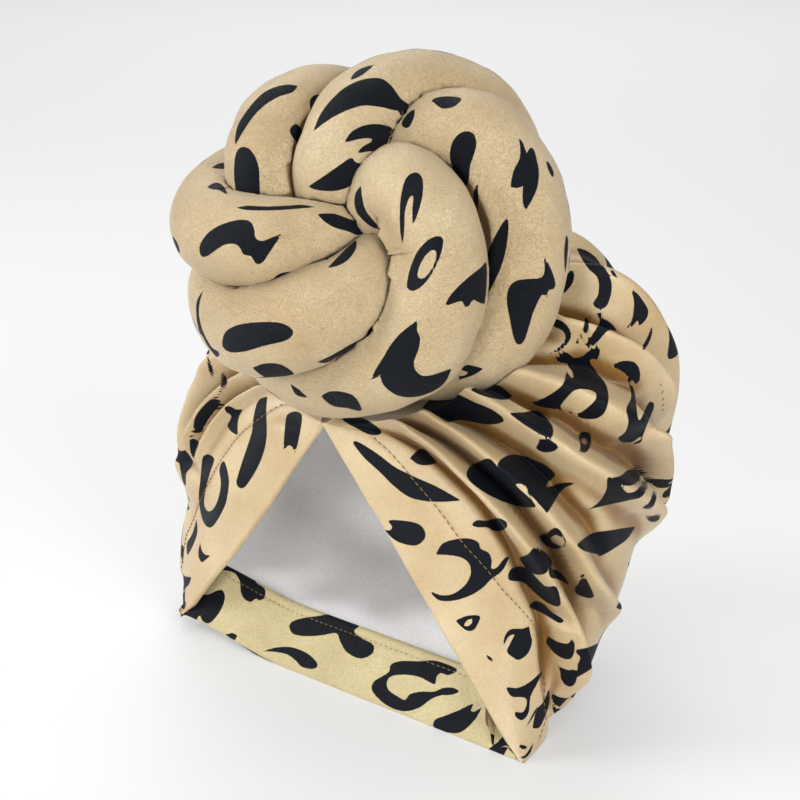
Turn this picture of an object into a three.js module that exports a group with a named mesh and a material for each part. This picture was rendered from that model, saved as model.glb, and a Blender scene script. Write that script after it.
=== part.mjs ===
// Turban headwrap: a gathered satin cap with a padded knot of six rolls above its brow.
// Millimetres, +Z up. The mouth faces -Y, the nape edge lies along X and the crown is at +Z.
// The origin is on the floor, in the middle of the flat patch that the cap rests on.
import * as THREE from 'three';

// Mouth: a triangle between the two flap edges and the nape edge
const MOUTH_HALF_WIDTH = 98;
const MOUTH_HEIGHT = 126;
const APEX_LEAN = 8;
const LEFT_CORNER_LIFT = 7;

// Cap: its widest section, and how far the nape edge lies ahead of the origin
const CAP_HALF_WIDTH = 112;
const CAP_DEPTH = 152;
const NAPE_AHEAD = 40;
const FOLD_HEIGHT = 6;

// Cloth: walls, hems and the gaps between layers
const SHELL_WALL = 1.6;
const HEM_WALL = 1.0;
const LINING_WALL = 1.0;
const BAND_WALL = 1.2;
const LAYER_GAP = 0.4;
const LINING_SLACK = 5;
const NAPE_BAND_WIDTH = 26;
const NAPE_BAND_SLOPE = 58;

// Knot: six padded rolls that swirl round one centre, over the apex of the mouth
const KNOT_RADIUS = 76;
const ROLL_RADIUS = 20.5;
const KNOT_ASIDE = 8;
const KNOT_BEHIND_APEX = 23;
const KNOT_TURN = 39.5;
const KNOT_TIP = 18;
const ROLL_GAP = 0.62;
const SEAT_GAP = 1.8;

// Mesh density
const ROLL_RINGS = 23;
const ROLL_SIDES = 14;
const ROUTE_SAMPLES = 70;
const LINING_ROWS = 9;
const LINING_FLOOR_ROWS = 3;
const LINING_COLUMNS = 28;

// Sections of the cap from the apex (down 0) to the nape edge (down 1). Each is a rounded
// outline through the two flap edges, tipped up at the back by tilt degrees. Half width and
// aside, how far it leans to the right, are shares of CAP_HALF_WIDTH; depth and brow, how far
// it swells ahead, are shares of CAP_DEPTH.
const SECTIONS = [
  { down: 0.00, tilt: 20, halfWidth: 0.02, depth: 0.05, brow: 0.00, power: 2.0, aside: 0.00 },
  { down: 0.03, tilt: 34, halfWidth: 0.34, depth: 0.53, brow: 0.00, power: 2.0, aside: 0.00 },
  { down: 0.07, tilt: 42, halfWidth: 0.58, depth: 0.76, brow: 0.01, power: 2.1, aside: 0.00 },
  { down: 0.13, tilt: 42, halfWidth: 0.80, depth: 0.89, brow: 0.03, power: 2.2, aside: -0.01 },
  { down: 0.22, tilt: 35, halfWidth: 0.95, depth: 0.97, brow: 0.06, power: 2.2, aside: -0.02 },
  { down: 0.34, tilt: 25, halfWidth: 1.00, depth: 1.00, brow: 0.09, power: 2.3, aside: -0.04 },
  { down: 0.48, tilt: 14, halfWidth: 0.975, depth: 0.94, brow: 0.11, power: 2.3, aside: -0.045 },
  { down: 0.62, tilt: 6, halfWidth: 0.97, depth: 0.86, brow: 0.11, power: 2.2, aside: -0.07 },
  { down: 0.75, tilt: 0, halfWidth: 0.98, depth: 0.74, brow: 0.10, power: 2.2, aside: -0.11 },
  { down: 0.86, tilt: -5, halfWidth: 0.97, depth: 0.61, brow: 0.08, power: 2.2, aside: -0.12 },
  { down: 0.94, tilt: -7, halfWidth: 0.945, depth: 0.47, brow: 0.04, power: 2.2, aside: -0.105 },
  { down: 0.985, tilt: -6, halfWidth: 0.90, depth: 0.24, brow: 0.01, power: 2.2, aside: -0.04 },
  { down: 1.00, tilt: 0, halfWidth: 0.89, depth: 0.0001, brow: 0.00, power: 2.2, aside: 0.00 },
];
const EDGE_FADE = 0.12;
const EDGE_WITHIN_SECTION = 0.995;

// Pleats that fan down from under the knot. Across runs from the left flap edge (0) round the
// back to the right flap edge (1); a pleat goes from acrossTop to acrossLow between the levels
// from and to. Height is a share of FOLD_HEIGHT and width a share of the way across.
const PLEATS = [
  { acrossTop: 0.060, acrossLow: 0.062, from: 0.05, to: 0.80, height: 0.35, width: 0.016 },
  { acrossTop: 0.128, acrossLow: 0.110, from: 0.04, to: 0.62, height: 0.75, width: 0.017 },
  { acrossTop: 0.185, acrossLow: 0.170, from: 0.05, to: 0.86, height: 0.80, width: 0.020 },
  { acrossTop: 0.250, acrossLow: 0.235, from: 0.06, to: 0.80, height: 0.85, width: 0.022 },
  { acrossTop: 0.320, acrossLow: 0.312, from: 0.06, to: 0.88, height: 0.90, width: 0.024 },
  { acrossTop: 0.390, acrossLow: 0.388, from: 0.06, to: 0.78, height: 0.80, width: 0.024 },
  { acrossTop: 0.460, acrossLow: 0.465, from: 0.06, to: 0.90, height: 0.95, width: 0.024 },
  { acrossTop: 0.535, acrossLow: 0.540, from: 0.06, to: 0.80, height: 0.85, width: 0.024 },
  { acrossTop: 0.600, acrossLow: 0.615, from: 0.06, to: 0.88, height: 0.90, width: 0.022 },
  { acrossTop: 0.652, acrossLow: 0.680, from: 0.07, to: 0.70, height: 0.85, width: 0.018 },
  { acrossTop: 0.690, acrossLow: 0.728, from: 0.07, to: 0.52, height: 1.00, width: 0.014 },
  { acrossTop: 0.742, acrossLow: 0.762, from: 0.08, to: 0.86, height: 0.70, width: 0.014 },
  { acrossTop: 0.822, acrossLow: 0.780, from: 0.04, to: 0.62, height: 1.00, width: 0.014 },
  { acrossTop: 0.872, acrossLow: 0.832, from: 0.03, to: 0.78, height: 0.95, width: 0.012 },
  { acrossTop: 0.908, acrossLow: 0.880, from: 0.03, to: 0.95, height: 1.00, width: 0.012 },
];
const PLEAT_RISE = 0.06;
const PLEAT_FALL = 0.18;

// Stretches of levels with their number of rows, closest under the knot where the cap opens
// out fast, and near the nape where it turns under
const ROW_STRETCHES = [
  { to: 0.03, steps: 4 },
  { to: 0.13, steps: 4 },
  { to: 0.34, steps: 4 },
  { to: 0.75, steps: 5 },
  { to: 1.00, steps: 5 },
];

// Stretches of the way across with their number of columns, closest where pleats are narrow.
// The first and last are the widths of the turned-in flap hems.
const COLUMN_STRETCHES = [
  { to: 0.065, steps: 4 },
  { to: 0.22, steps: 9 },
  { to: 0.60, steps: 16 },
  { to: 0.93, steps: 30 },
  { to: 1.00, steps: 4 },
];

// Route of each roll from the middle of the swirl, over its outside and back under the knot.
// Aside, up and out are shares of KNOT_RADIUS, girth is a share of ROLL_RADIUS.
const ROLLS = {
  front: [
    { aside: 0.01, up: 0.00, out: 0.10, girth: 0.60 },
    { aside: 0.05, up: 0.12, out: 0.34, girth: 0.75 },
    { aside: 0.15, up: 0.19, out: 0.50, girth: 0.83 },
    { aside: 0.255, up: 0.11, out: 0.57, girth: 0.84 },
    { aside: 0.36, up: -0.11, out: 0.56, girth: 0.84 },
    { aside: 0.335, up: -0.37, out: 0.51, girth: 0.92 },
    { aside: 0.235, up: -0.59, out: 0.42, girth: 0.94 },
    { aside: 0.05, up: -0.70, out: 0.30, girth: 0.88 },
    { aside: -0.155, up: -0.79, out: 0.12, girth: 0.72 },
    { aside: -0.35, up: -0.76, out: -0.06, girth: 0.66 },
    { aside: -0.48, up: -0.60, out: -0.26, girth: 0.80 },
    { aside: -0.42, up: -0.38, out: -0.45, girth: 0.95 },
    { aside: -0.22, up: -0.22, out: -0.52, girth: 0.85 },
  ],
  right: [
    { aside: 0.13, up: 0.22, out: 0.10, girth: 0.70 },
    { aside: 0.22, up: 0.40, out: 0.26, girth: 0.80 },
    { aside: 0.36, up: 0.49, out: 0.34, girth: 0.86 },
    { aside: 0.54, up: 0.455, out: 0.36, girth: 0.90 },
    { aside: 0.70, up: 0.28, out: 0.34, girth: 0.92 },
    { aside: 0.785, up: 0.04, out: 0.31, girth: 0.90 },
    { aside: 0.775, up: -0.23, out: 0.27, girth: 0.88 },
    { aside: 0.68, up: -0.47, out: 0.20, girth: 0.88 },
    { aside: 0.51, up: -0.62, out: 0.08, girth: 0.82 },
    { aside: 0.31, up: -0.66, out: -0.10, girth: 0.82 },
    { aside: 0.13, up: -0.56, out: -0.32, girth: 0.90 },
    { aside: -0.02, up: -0.40, out: -0.50, girth: 0.85 },
  ],
  top: [
    { aside: -0.19, up: 0.17, out: 0.04, girth: 0.56 },
    { aside: -0.19, up: 0.23, out: 0.27, girth: 0.78 },
    { aside: -0.15, up: 0.365, out: 0.36, girth: 0.86 },
    { aside: -0.065, up: 0.57, out: 0.33, girth: 0.85 },
    { aside: 0.115, up: 0.69, out: 0.26, girth: 0.82 },
    { aside: 0.315, up: 0.73, out: 0.17, girth: 0.82 },
    { aside: 0.53, up: 0.67, out: 0.07, girth: 0.82 },
    { aside: 0.67, up: 0.50, out: -0.07, girth: 0.84 },
    { aside: 0.70, up: 0.25, out: -0.25, girth: 0.95 },
    { aside: 0.60, up: 0.02, out: -0.42, girth: 1.05 },
    { aside: 0.42, up: -0.20, out: -0.53, girth: 1.00 },
    { aside: 0.22, up: -0.32, out: -0.50, girth: 0.80 },
  ],
  upper_left: [
    { aside: -0.52, up: -0.02, out: -0.02, girth: 0.75 },
    { aside: -0.54, up: 0.165, out: 0.14, girth: 0.78 },
    { aside: -0.56, up: 0.375, out: 0.20, girth: 0.76 },
    { aside: -0.50, up: 0.57, out: 0.16, girth: 0.73 },
    { aside: -0.36, up: 0.70, out: 0.06, girth: 0.68 },
    { aside: -0.19, up: 0.735, out: -0.08, girth: 0.70 },
    { aside: 0.02, up: 0.68, out: -0.27, girth: 0.90 },
    { aside: 0.18, up: 0.50, out: -0.47, girth: 1.12 },
    { aside: 0.24, up: 0.22, out: -0.60, girth: 1.15 },
    { aside: 0.22, up: -0.02, out: -0.58, girth: 0.90 },
  ],
  left: [
    { aside: -0.05, up: 0.03, out: 0.24, girth: 0.34 },
    { aside: -0.18, up: 0.00, out: 0.38, girth: 0.52 },
    { aside: -0.385, up: -0.035, out: 0.38, girth: 0.73 },
    { aside: -0.60, up: -0.055, out: 0.31, girth: 0.90 },
    { aside: -0.79, up: 0.005, out: 0.18, girth: 0.92 },
    { aside: -0.84, up: 0.15, out: 0.02, girth: 0.80 },
    { aside: -0.74, up: 0.27, out: -0.15, girth: 0.84 },
    { aside: -0.56, up: 0.36, out: -0.32, girth: 0.95 },
    { aside: -0.40, up: 0.47, out: -0.42, girth: 1.05 },
    { aside: -0.17, up: 0.44, out: -0.56, girth: 1.10 },
    { aside: 0.02, up: 0.25, out: -0.60, girth: 0.90 },
  ],
  lower_left: [
    { aside: 0.08, up: -0.05, out: 0.24, girth: 0.34 },
    { aside: 0.03, up: -0.14, out: 0.37, girth: 0.54 },
    { aside: -0.085, up: -0.315, out: 0.42, girth: 0.84 },
    { aside: -0.26, up: -0.43, out: 0.37, girth: 0.95 },
    { aside: -0.495, up: -0.505, out: 0.27, girth: 0.96 },
    { aside: -0.65, up: -0.48, out: 0.12, girth: 0.90 },
    { aside: -0.77, up: -0.365, out: -0.04, girth: 0.80 },
    { aside: -0.75, up: -0.18, out: -0.22, girth: 0.85 },
    { aside: -0.60, up: 0.00, out: -0.42, girth: 1.00 },
    { aside: -0.38, up: 0.12, out: -0.56, girth: 1.10 },
    { aside: -0.14, up: 0.03, out: -0.60, girth: 0.95 },
  ],
};
// A bend never squeezes a roll's inner side past this share of the bend's own radius
const BEND_SHARE = 0.92;
const PRESS_STEP = 1;
const TIP_RADIUS = 1;

const DEGREE = Math.PI / 180;
const APEX = new THREE.Vector3(0, -NAPE_AHEAD - APEX_LEAN, MOUTH_HEIGHT);
const KNOT_CENTRE = new THREE.Vector3(
  APEX.x + KNOT_ASIDE,
  APEX.y + KNOT_BEHIND_APEX,
  APEX.z + KNOT_RADIUS,
);

// The knot's own directions: out of its face, to the side across it and up along it
const turn = KNOT_TURN * DEGREE;
const tip = KNOT_TIP * DEGREE;
const knotOut = new THREE.Vector3(
  Math.sin(turn) * Math.cos(tip),
  -Math.cos(turn) * Math.cos(tip),
  Math.sin(tip),
);
const knotAside = new THREE.Vector3(Math.cos(turn), Math.sin(turn), 0);
const knotUp = new THREE.Vector3().crossVectors(knotOut, knotAside);

// Rises from 0 to 1 between two values with a level start and end
function smoothRise(value, low, high) {
  const share = THREE.MathUtils.clamp((value - low) / (high - low), 0, 1);
  return share * share * (3 - 2 * share);
}

// A curve through the given points that never swings past them: cubic pieces whose slopes
// are the harmonic means of the slopes on either side
function steadyCurve(xs, ys) {
  const last = xs.length - 1;
  const steps = xs.slice(1).map((x, i) => x - xs[i]);
  const slopes = steps.map((step, i) => (ys[i + 1] - ys[i]) / step);
  const tangents = xs.map((x, i) => {
    if (i === 0) {
      return slopes[0];
    }
    if (i === last) {
      return slopes[last - 1];
    }
    if (slopes[i - 1] * slopes[i] <= 0) {
      return 0;
    }
    const before = 2 * steps[i] + steps[i - 1];
    const after = steps[i] + 2 * steps[i - 1];
    return (before + after) / (before / slopes[i - 1] + after / slopes[i]);
  });
  return (x) => {
    let i = 0;
    while (i < last - 1 && x > xs[i + 1]) {
      i += 1;
    }
    const s = (x - xs[i]) / steps[i];
    const rest = 1 - s;
    const start = (1 + 2 * s) * rest * rest * ys[i] + s * rest * rest * steps[i] * tangents[i];
    const end = s * s * (3 - 2 * s) * ys[i + 1] - s * s * rest * steps[i] * tangents[i + 1];
    return start + end;
  };
}

const levels = SECTIONS.map((section) => section.down);
const sectionCurves = {};
for (const name of ['tilt', 'halfWidth', 'depth', 'brow', 'power', 'aside']) {
  sectionCurves[name] = steadyCurve(levels, SECTIONS.map((section) => section[name]));
}

// Height of the nape edge over the floor: flat at the right, rising to the left corner
const LIFT_FROM_SHARE = 0.3;
function cornerLift(x) {
  return LEFT_CORNER_LIFT * smoothRise(-x, LIFT_FROM_SHARE * MOUTH_HALF_WIDTH, MOUTH_HALF_WIDTH);
}

// Point of the smooth cap. Each section is a superellipse through both flap edges, laid in a
// plane that tips up towards the back; near the flap edges it eases onto the mouth's plane.
function capPoint(down, across) {
  const halfWidth = sectionCurves.halfWidth(down) * CAP_HALF_WIDTH;
  const back = sectionCurves.depth(down) * CAP_DEPTH;
  const front = -sectionCurves.brow(down) * CAP_DEPTH;
  const power = sectionCurves.power(down);
  const edge = Math.min(MOUTH_HALF_WIDTH * down, EDGE_WITHIN_SECTION * halfWidth);
  const reach = (back - front) / 2;
  const middle = (back + front) / 2;
  const start = Math.asin((edge / halfWidth) ** (power / 2));
  const angle = start + (2 * Math.PI - 2 * start) * across;
  const sine = Math.sin(angle);
  const cosine = Math.cos(angle);
  const inFromEdge = smoothRise(Math.min(across, 1 - across), 0, EDGE_FADE);
  const x = -halfWidth * Math.sign(sine) * Math.abs(sine) ** (2 / power)
    + sectionCurves.aside(down) * CAP_HALF_WIDTH * inFromEdge;
  const edgeDepth = middle - reach * Math.cos(start) ** (2 / power);
  const depth = middle - reach * Math.sign(cosine) * Math.abs(cosine) ** (2 / power)
    - edgeDepth * (1 - inFromEdge);
  const tilt = sectionCurves.tilt(down) * DEGREE;
  const lift = down * cornerLift(x);
  return new THREE.Vector3(
    x,
    -NAPE_AHEAD - APEX_LEAN * (1 - down) + depth * Math.cos(tilt),
    MOUTH_HEIGHT * (1 - down) + depth * Math.sin(tilt) + lift,
  );
}

// Height of the pleats above the smooth cap: rounded ridges that rise below the knot and die
// away towards the nape
function pleatHeight(down, across) {
  let height = 0;
  for (const pleat of PLEATS) {
    const along = THREE.MathUtils.clamp((down - pleat.from) / (pleat.to - pleat.from), 0, 1);
    const centre = THREE.MathUtils.lerp(pleat.acrossTop, pleat.acrossLow, along);
    const away = (across - centre) / pleat.width;
    const rise = smoothRise(down, pleat.from, pleat.from + PLEAT_RISE);
    const fall = 1 - smoothRise(down, pleat.to - PLEAT_FALL, pleat.to);
    height += pleat.height * FOLD_HEIGHT * Math.exp(-away * away) * rise * fall;
  }
  return height;
}

// Centripetal Catmull-Rom route of a roll, sampled at equal steps, with its radius
function rollRoute(rows, count) {
  const controls = rows.map((row) => KNOT_CENTRE.clone()
    .addScaledVector(knotAside, row.aside * KNOT_RADIUS)
    .addScaledVector(knotUp, row.up * KNOT_RADIUS)
    .addScaledVector(knotOut, row.out * KNOT_RADIUS));
  const curve = new THREE.CatmullRomCurve3(controls, false, 'centripetal');
  const girthAt = steadyCurve(
    rows.map((row, i) => i / (rows.length - 1)),
    rows.map((row) => row.girth),
  );
  const samples = [];
  for (let i = 0; i < count; i += 1) {
    const along = curve.getUtoTmapping(i / (count - 1));
    samples.push({ centre: curve.getPoint(along), radius: girthAt(along) * ROLL_RADIUS });
  }
  return samples;
}

const routes = Object.fromEntries(
  Object.entries(ROLLS).map(([name, rows]) => [name, rollRoute(rows, ROUTE_SAMPLES)]),
);
const allSamples = Object.values(routes).flat();

// Distance from a point to the nearest route, in radii of the roll there
function distanceInRadii(point, samples) {
  let nearest = Infinity;
  for (const sample of samples) {
    nearest = Math.min(nearest, point.distanceTo(sample.centre) / sample.radius);
  }
  return nearest;
}

// Distance from a point to the outside of the knot, negative inside it
function distanceToKnot(point) {
  let nearest = Infinity;
  for (const sample of allSamples) {
    nearest = Math.min(nearest, point.distanceTo(sample.centre) - sample.radius);
  }
  return nearest;
}

// Halves the range between a value that holds and one that doesn't, down to a fine step
const HALVINGS = 14;
function lastThatHolds(holding, failing, holds) {
  let good = holding;
  let bad = failing;
  for (let i = 0; i < HALVINGS; i += 1) {
    const middle = (good + bad) / 2;
    if (holds(middle)) {
      good = middle;
    } else {
      bad = middle;
    }
  }
  return good;
}

// Moves a point of the cap straight away from the knot's centre until it lies outside a ball
// nearly as large as the knot and outside every roll on that line, which dents the cap into
// a seat
const SEAT_STEP = 1;
const SEAT_BALL_SHARE = 0.98;
const SEAT_REACH = 2 * KNOT_RADIUS;
function seated(point, clearance) {
  const away = point.clone().sub(KNOT_CENTRE).normalize();
  const start = point.distanceTo(KNOT_CENTRE);
  const at = (distance) => KNOT_CENTRE.clone().addScaledVector(away, distance);
  const ball = SEAT_BALL_SHARE * KNOT_RADIUS + clearance;
  const isClear = (distance) => distance >= ball && distanceToKnot(at(distance)) >= clearance;
  let distance = Math.max(start, SEAT_REACH);
  while (distance > start && isClear(distance - SEAT_STEP)) {
    distance -= SEAT_STEP;
  }
  if (distance <= start) {
    return point;
  }
  return at(lastThatHolds(distance, distance - SEAT_STEP, isClear));
}

// Grid of points for every level and place across
function gridOf(downs, acrosses, pointAt) {
  return downs.map((down) => acrosses.map((across) => pointAt(down, across)));
}

// Unit normals of a grid from the differences between neighbours, facing out of the cap
function gridNormals(grid) {
  const lastRow = grid.length - 1;
  const lastColumn = grid[0].length - 1;
  return grid.map((row, i) => row.map((point, j) => {
    const downwards = grid[Math.min(i + 1, lastRow)][j].clone()
      .sub(grid[Math.max(i - 1, 0)][j]);
    const sideways = row[Math.min(j + 1, lastColumn)].clone()
      .sub(row[Math.max(j - 1, 0)]);
    return new THREE.Vector3().crossVectors(sideways, downwards).normalize();
  }));
}

// Each point moved along its normal by its own distance
function offsetGrid(grid, normals, distanceAt) {
  return grid.map((row, i) => row.map((point, j) => point.clone()
    .addScaledVector(normals[i][j], distanceAt(i, j))));
}

// Closed mesh from points and triangles, turned so that its volume is positive
function closedGeometry(points, triangles) {
  let volume = 0;
  for (const [a, b, c] of triangles) {
    volume += points[a].dot(new THREE.Vector3().crossVectors(points[b], points[c]));
  }
  const facing = volume > 0 ? triangles : triangles.map(([a, b, c]) => [a, c, b]);
  const geometry = new THREE.BufferGeometry().setFromPoints(points);
  geometry.setIndex(facing.flat());
  geometry.computeVertexNormals();
  return geometry;
}

// Wall between two grids of the same size, closed along its four edges
function wallGeometry(outer, inner) {
  const rows = outer.length;
  const columns = outer[0].length;
  const points = [...outer.flat(), ...inner.flat()];
  const layer = rows * columns;
  const at = (i, j) => i * columns + j;
  const triangles = [];
  const addFace = (a, b, c, d) => {
    triangles.push([a, b, c], [a, c, d]);
  };
  for (let i = 0; i + 1 < rows; i += 1) {
    for (let j = 0; j + 1 < columns; j += 1) {
      addFace(at(i, j), at(i + 1, j), at(i + 1, j + 1), at(i, j + 1));
      addFace(
        layer + at(i, j),
        layer + at(i, j + 1),
        layer + at(i + 1, j + 1),
        layer + at(i + 1, j),
      );
    }
  }
  const border = [];
  for (let j = 0; j + 1 < columns; j += 1) {
    border.push(at(0, j));
  }
  for (let i = 0; i + 1 < rows; i += 1) {
    border.push(at(i, columns - 1));
  }
  for (let j = columns - 1; j > 0; j -= 1) {
    border.push(at(rows - 1, j));
  }
  for (let i = rows - 1; i > 0; i -= 1) {
    border.push(at(i, 0));
  }
  border.forEach((from, k) => {
    const to = border[(k + 1) % border.length];
    addFace(from, to, layer + to, layer + from);
  });
  return closedGeometry(points, triangles);
}

// Roll: rings along its route whose radius is the roll's own girth, less where the bend is
// tight and where a neighbour presses against it, with a rounded end at each tip
function rollGeometry(name) {
  const own = routes[name];
  const others = Object.keys(routes).filter((other) => other !== name)
    .flatMap((other) => routes[other]);
  const route = rollRoute(ROLLS[name], ROLL_RINGS);
  const centres = route.map((sample) => sample.centre);
  const tangents = centres.map((centre, i) => centres[Math.min(i + 1, ROLL_RINGS - 1)].clone()
    .sub(centres[Math.max(i - 1, 0)]).normalize());
  const spacing = centres[1].distanceTo(centres[0]);
  const length = spacing * (ROLL_RINGS - 1);
  let side = knotOut.clone();
  const points = [];
  route.forEach((sample, i) => {
    side.addScaledVector(tangents[i], -side.dot(tangents[i])).normalize();
    const cross = new THREE.Vector3().crossVectors(tangents[i], side);
    const before = tangents[Math.max(i - 1, 0)];
    const after = tangents[Math.min(i + 1, ROLL_RINGS - 1)];
    const bend = after.clone().sub(before).divideScalar(2 * spacing);
    const fromStart = Math.min(i * spacing / sample.radius, 1);
    const fromEnd = Math.min((length - i * spacing) / sample.radius, 1);
    const roundStart = Math.sqrt(1 - (1 - fromStart) ** 2);
    const roundEnd = Math.sqrt(Math.max(1 - (1 - fromEnd) ** 2, 0));
    const radius = Math.max(sample.radius * Math.min(roundStart, roundEnd), TIP_RADIUS);
    for (let k = 0; k < ROLL_SIDES; k += 1) {
      const angle = 2 * Math.PI * k / ROLL_SIDES;
      const direction = side.clone().multiplyScalar(Math.cos(angle))
        .addScaledVector(cross, Math.sin(angle));
      const inward = direction.dot(bend);
      const free = inward > 0 ? Math.min(radius, BEND_SHARE / inward) : radius;
      const at = (distance) => sample.centre.clone().addScaledVector(direction, distance);
      const clear = (distance) => {
        const point = at(distance);
        return distanceInRadii(point, own) <= distanceInRadii(point, others);
      };
      let reached = 0;
      while (reached < free && clear(Math.min(reached + PRESS_STEP, free))) {
        reached = Math.min(reached + PRESS_STEP, free);
      }
      const next = Math.min(reached + PRESS_STEP, free);
      const pressed = reached < free ? lastThatHolds(reached, next, clear) - ROLL_GAP : free;
      points.push(at(Math.max(pressed, ROLL_GAP)));
    }
    side = side.clone();
  });
  const startTip = points.length;
  points.push(centres[0].clone().addScaledVector(tangents[0], -ROLL_GAP));
  points.push(centres.at(-1).clone().addScaledVector(tangents.at(-1), ROLL_GAP));
  const lastRing = (ROLL_RINGS - 1) * ROLL_SIDES;
  const triangles = [];
  for (let k = 0; k < ROLL_SIDES; k += 1) {
    const next = (k + 1) % ROLL_SIDES;
    triangles.push([startTip, next, k]);
    triangles.push([startTip + 1, lastRing + k, lastRing + next]);
    for (let i = 0; i + 1 < ROLL_RINGS; i += 1) {
      const a = i * ROLL_SIDES;
      const b = a + ROLL_SIDES;
      triangles.push([a + k, a + next, b + next], [a + k, b + next, b + k]);
    }
  }
  return closedGeometry(points, triangles);
}

// Values from 0 up through each stretch in its number of equal steps
function stretched(stretches) {
  const values = [0];
  for (const stretch of stretches) {
    const from = values.at(-1);
    for (let k = 1; k <= stretch.steps; k += 1) {
      values.push(THREE.MathUtils.lerp(from, stretch.to, k / stretch.steps));
    }
  }
  return values;
}
const shellDowns = stretched(ROW_STRETCHES);
const shellAcrosses = stretched(COLUMN_STRETCHES);

// Keeps a point on or above a height over the floor
function standing(point, height) {
  return new THREE.Vector3(point.x, point.y, Math.max(point.z, height));
}

// Outer face of the shell: pleats on the smooth cap, the knot's seat and the flat footing
const smoothCap = gridOf(shellDowns, shellAcrosses, capPoint);
const pleated = offsetGrid(
  smoothCap,
  gridNormals(smoothCap),
  (i, j) => pleatHeight(shellDowns[i], shellAcrosses[j]),
);
const shellOuter = pleated.map((row) => row.map((point) => standing(seated(point, SEAT_GAP), 0)));
const shellNormals = gridNormals(shellOuter);
const shellInner = offsetGrid(shellOuter, shellNormals, () => -SHELL_WALL)
  .map((row) => row.map((point) => standing(point, SHELL_WALL)));

// Turned-in hem along a flap edge: it lies one gap inside the shell, on the shell's own grid,
// from just under the knot to just above the nape corner
const HEM_TOP_ROW = 5;
const HEM_LOW_ROWS = 2;
function hemGeometry(firstColumn, lastColumn) {
  const cut = (grid) => grid.slice(HEM_TOP_ROW, shellDowns.length - HEM_LOW_ROWS)
    .map((row) => row.slice(firstColumn, lastColumn + 1));
  const faceAt = (inset) => offsetGrid(cut(shellOuter), cut(shellNormals), () => -inset);
  const inset = SHELL_WALL + LAYER_GAP;
  return wallGeometry(faceAt(inset), faceAt(inset + HEM_WALL));
}

// Nape band: a strip that stands up from the nape edge, leaning back, its lower edge shorter
// than the mouth by the flap hems and its ends slanting in as the mouth does
const BAND_LOW_SHARE = 0.90;
const BAND_TOP_SHARE = 0.80;
const BAND_COLUMNS = 16;
const bandSlope = NAPE_BAND_SLOPE * DEGREE;
const bandBack = Math.sin(bandSlope) * BAND_WALL;
const bandFoot = new THREE.Vector3(
  0,
  -NAPE_AHEAD + bandBack + LAYER_GAP,
  SHELL_WALL + LAYER_GAP,
);
function bandPoint(across, up, forward) {
  const halfWidth = MOUTH_HALF_WIDTH * THREE.MathUtils.lerp(BAND_LOW_SHARE, BAND_TOP_SHARE, up);
  const x = THREE.MathUtils.lerp(-halfWidth, halfWidth, across);
  const lift = cornerLift(x);
  const rise = up * NAPE_BAND_WIDTH;
  return new THREE.Vector3(
    x,
    bandFoot.y + rise * Math.cos(bandSlope) - forward * Math.sin(bandSlope),
    bandFoot.z + lift + rise * Math.sin(bandSlope) + forward * Math.cos(bandSlope),
  );
}
function bandGeometry() {
  const ups = [0, 0.5, 1];
  const acrosses = Array.from({ length: BAND_COLUMNS + 1 }, (value, k) => k / BAND_COLUMNS);
  const face = (forward) => ups.map((up) => acrosses.map((across) => (
    bandPoint(across, up, forward))));
  return wallGeometry(face(BAND_WALL), face(0));
}

// Lining: a bag inside the shell, tucked under the flap hems, whose floor runs forward to the
// top of the nape band
const LINING_TOP = 0.05;
const LINING_LOW = 0.78;
const LINING_EDGE = 0.02;
const LINING_SLACK_REACH = 0.10;
function liningGeometry() {
  const acrosses = Array.from({ length: LINING_COLUMNS + 1 }, (value, k) => (
    THREE.MathUtils.lerp(LINING_EDGE, 1 - LINING_EDGE, k / LINING_COLUMNS)));
  const downs = Array.from({ length: LINING_ROWS }, (value, i) => (
    THREE.MathUtils.lerp(LINING_TOP, LINING_LOW, i / (LINING_ROWS - 1))));
  const underHem = SHELL_WALL + HEM_WALL + 2 * LAYER_GAP;
  const base = gridOf(downs, acrosses, capPoint);
  const normals = gridNormals(base);
  const hung = offsetGrid(base, normals, (i, j) => {
    const inFromEdge = Math.min(acrosses[j], 1 - acrosses[j]) - LINING_EDGE;
    return -underHem - LINING_SLACK * smoothRise(inFromEdge, 0, LINING_SLACK_REACH);
  });
  const seatDepth = SEAT_GAP + underHem + LINING_SLACK;
  const outer = hung.map((row) => row.map((point) => seated(point, seatDepth)));
  const lowRow = outer.at(-1);
  for (let k = 1; k <= LINING_FLOOR_ROWS; k += 1) {
    const share = k / LINING_FLOOR_ROWS;
    outer.push(lowRow.map((point, j) => {
      const across = j / LINING_COLUMNS;
      const bandTop = bandPoint(across, 1, BAND_WALL / 2);
      bandTop.z += BAND_WALL + LAYER_GAP;
      return point.clone().lerp(bandTop, share);
    }));
  }
  const inner = offsetGrid(outer, gridNormals(outer), () => -LINING_WALL);
  return wallGeometry(outer, inner);
}

const printedSatin = new THREE.MeshStandardMaterial({
  color: 0xd2ba90,
  roughness: 0.45,
  metalness: 0,
});
const wrongSide = new THREE.MeshStandardMaterial({
  color: 0xd8ca93,
  roughness: 0.7,
  metalness: 0,
});
const whiteSatin = new THREE.MeshStandardMaterial({
  color: 0xd8d7da,
  roughness: 0.5,
  metalness: 0,
});

const turban = new THREE.Group();
function add(name, geometry, material) {
  const mesh = new THREE.Mesh(geometry, material);
  mesh.name = name;
  turban.add(mesh);
}

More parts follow.
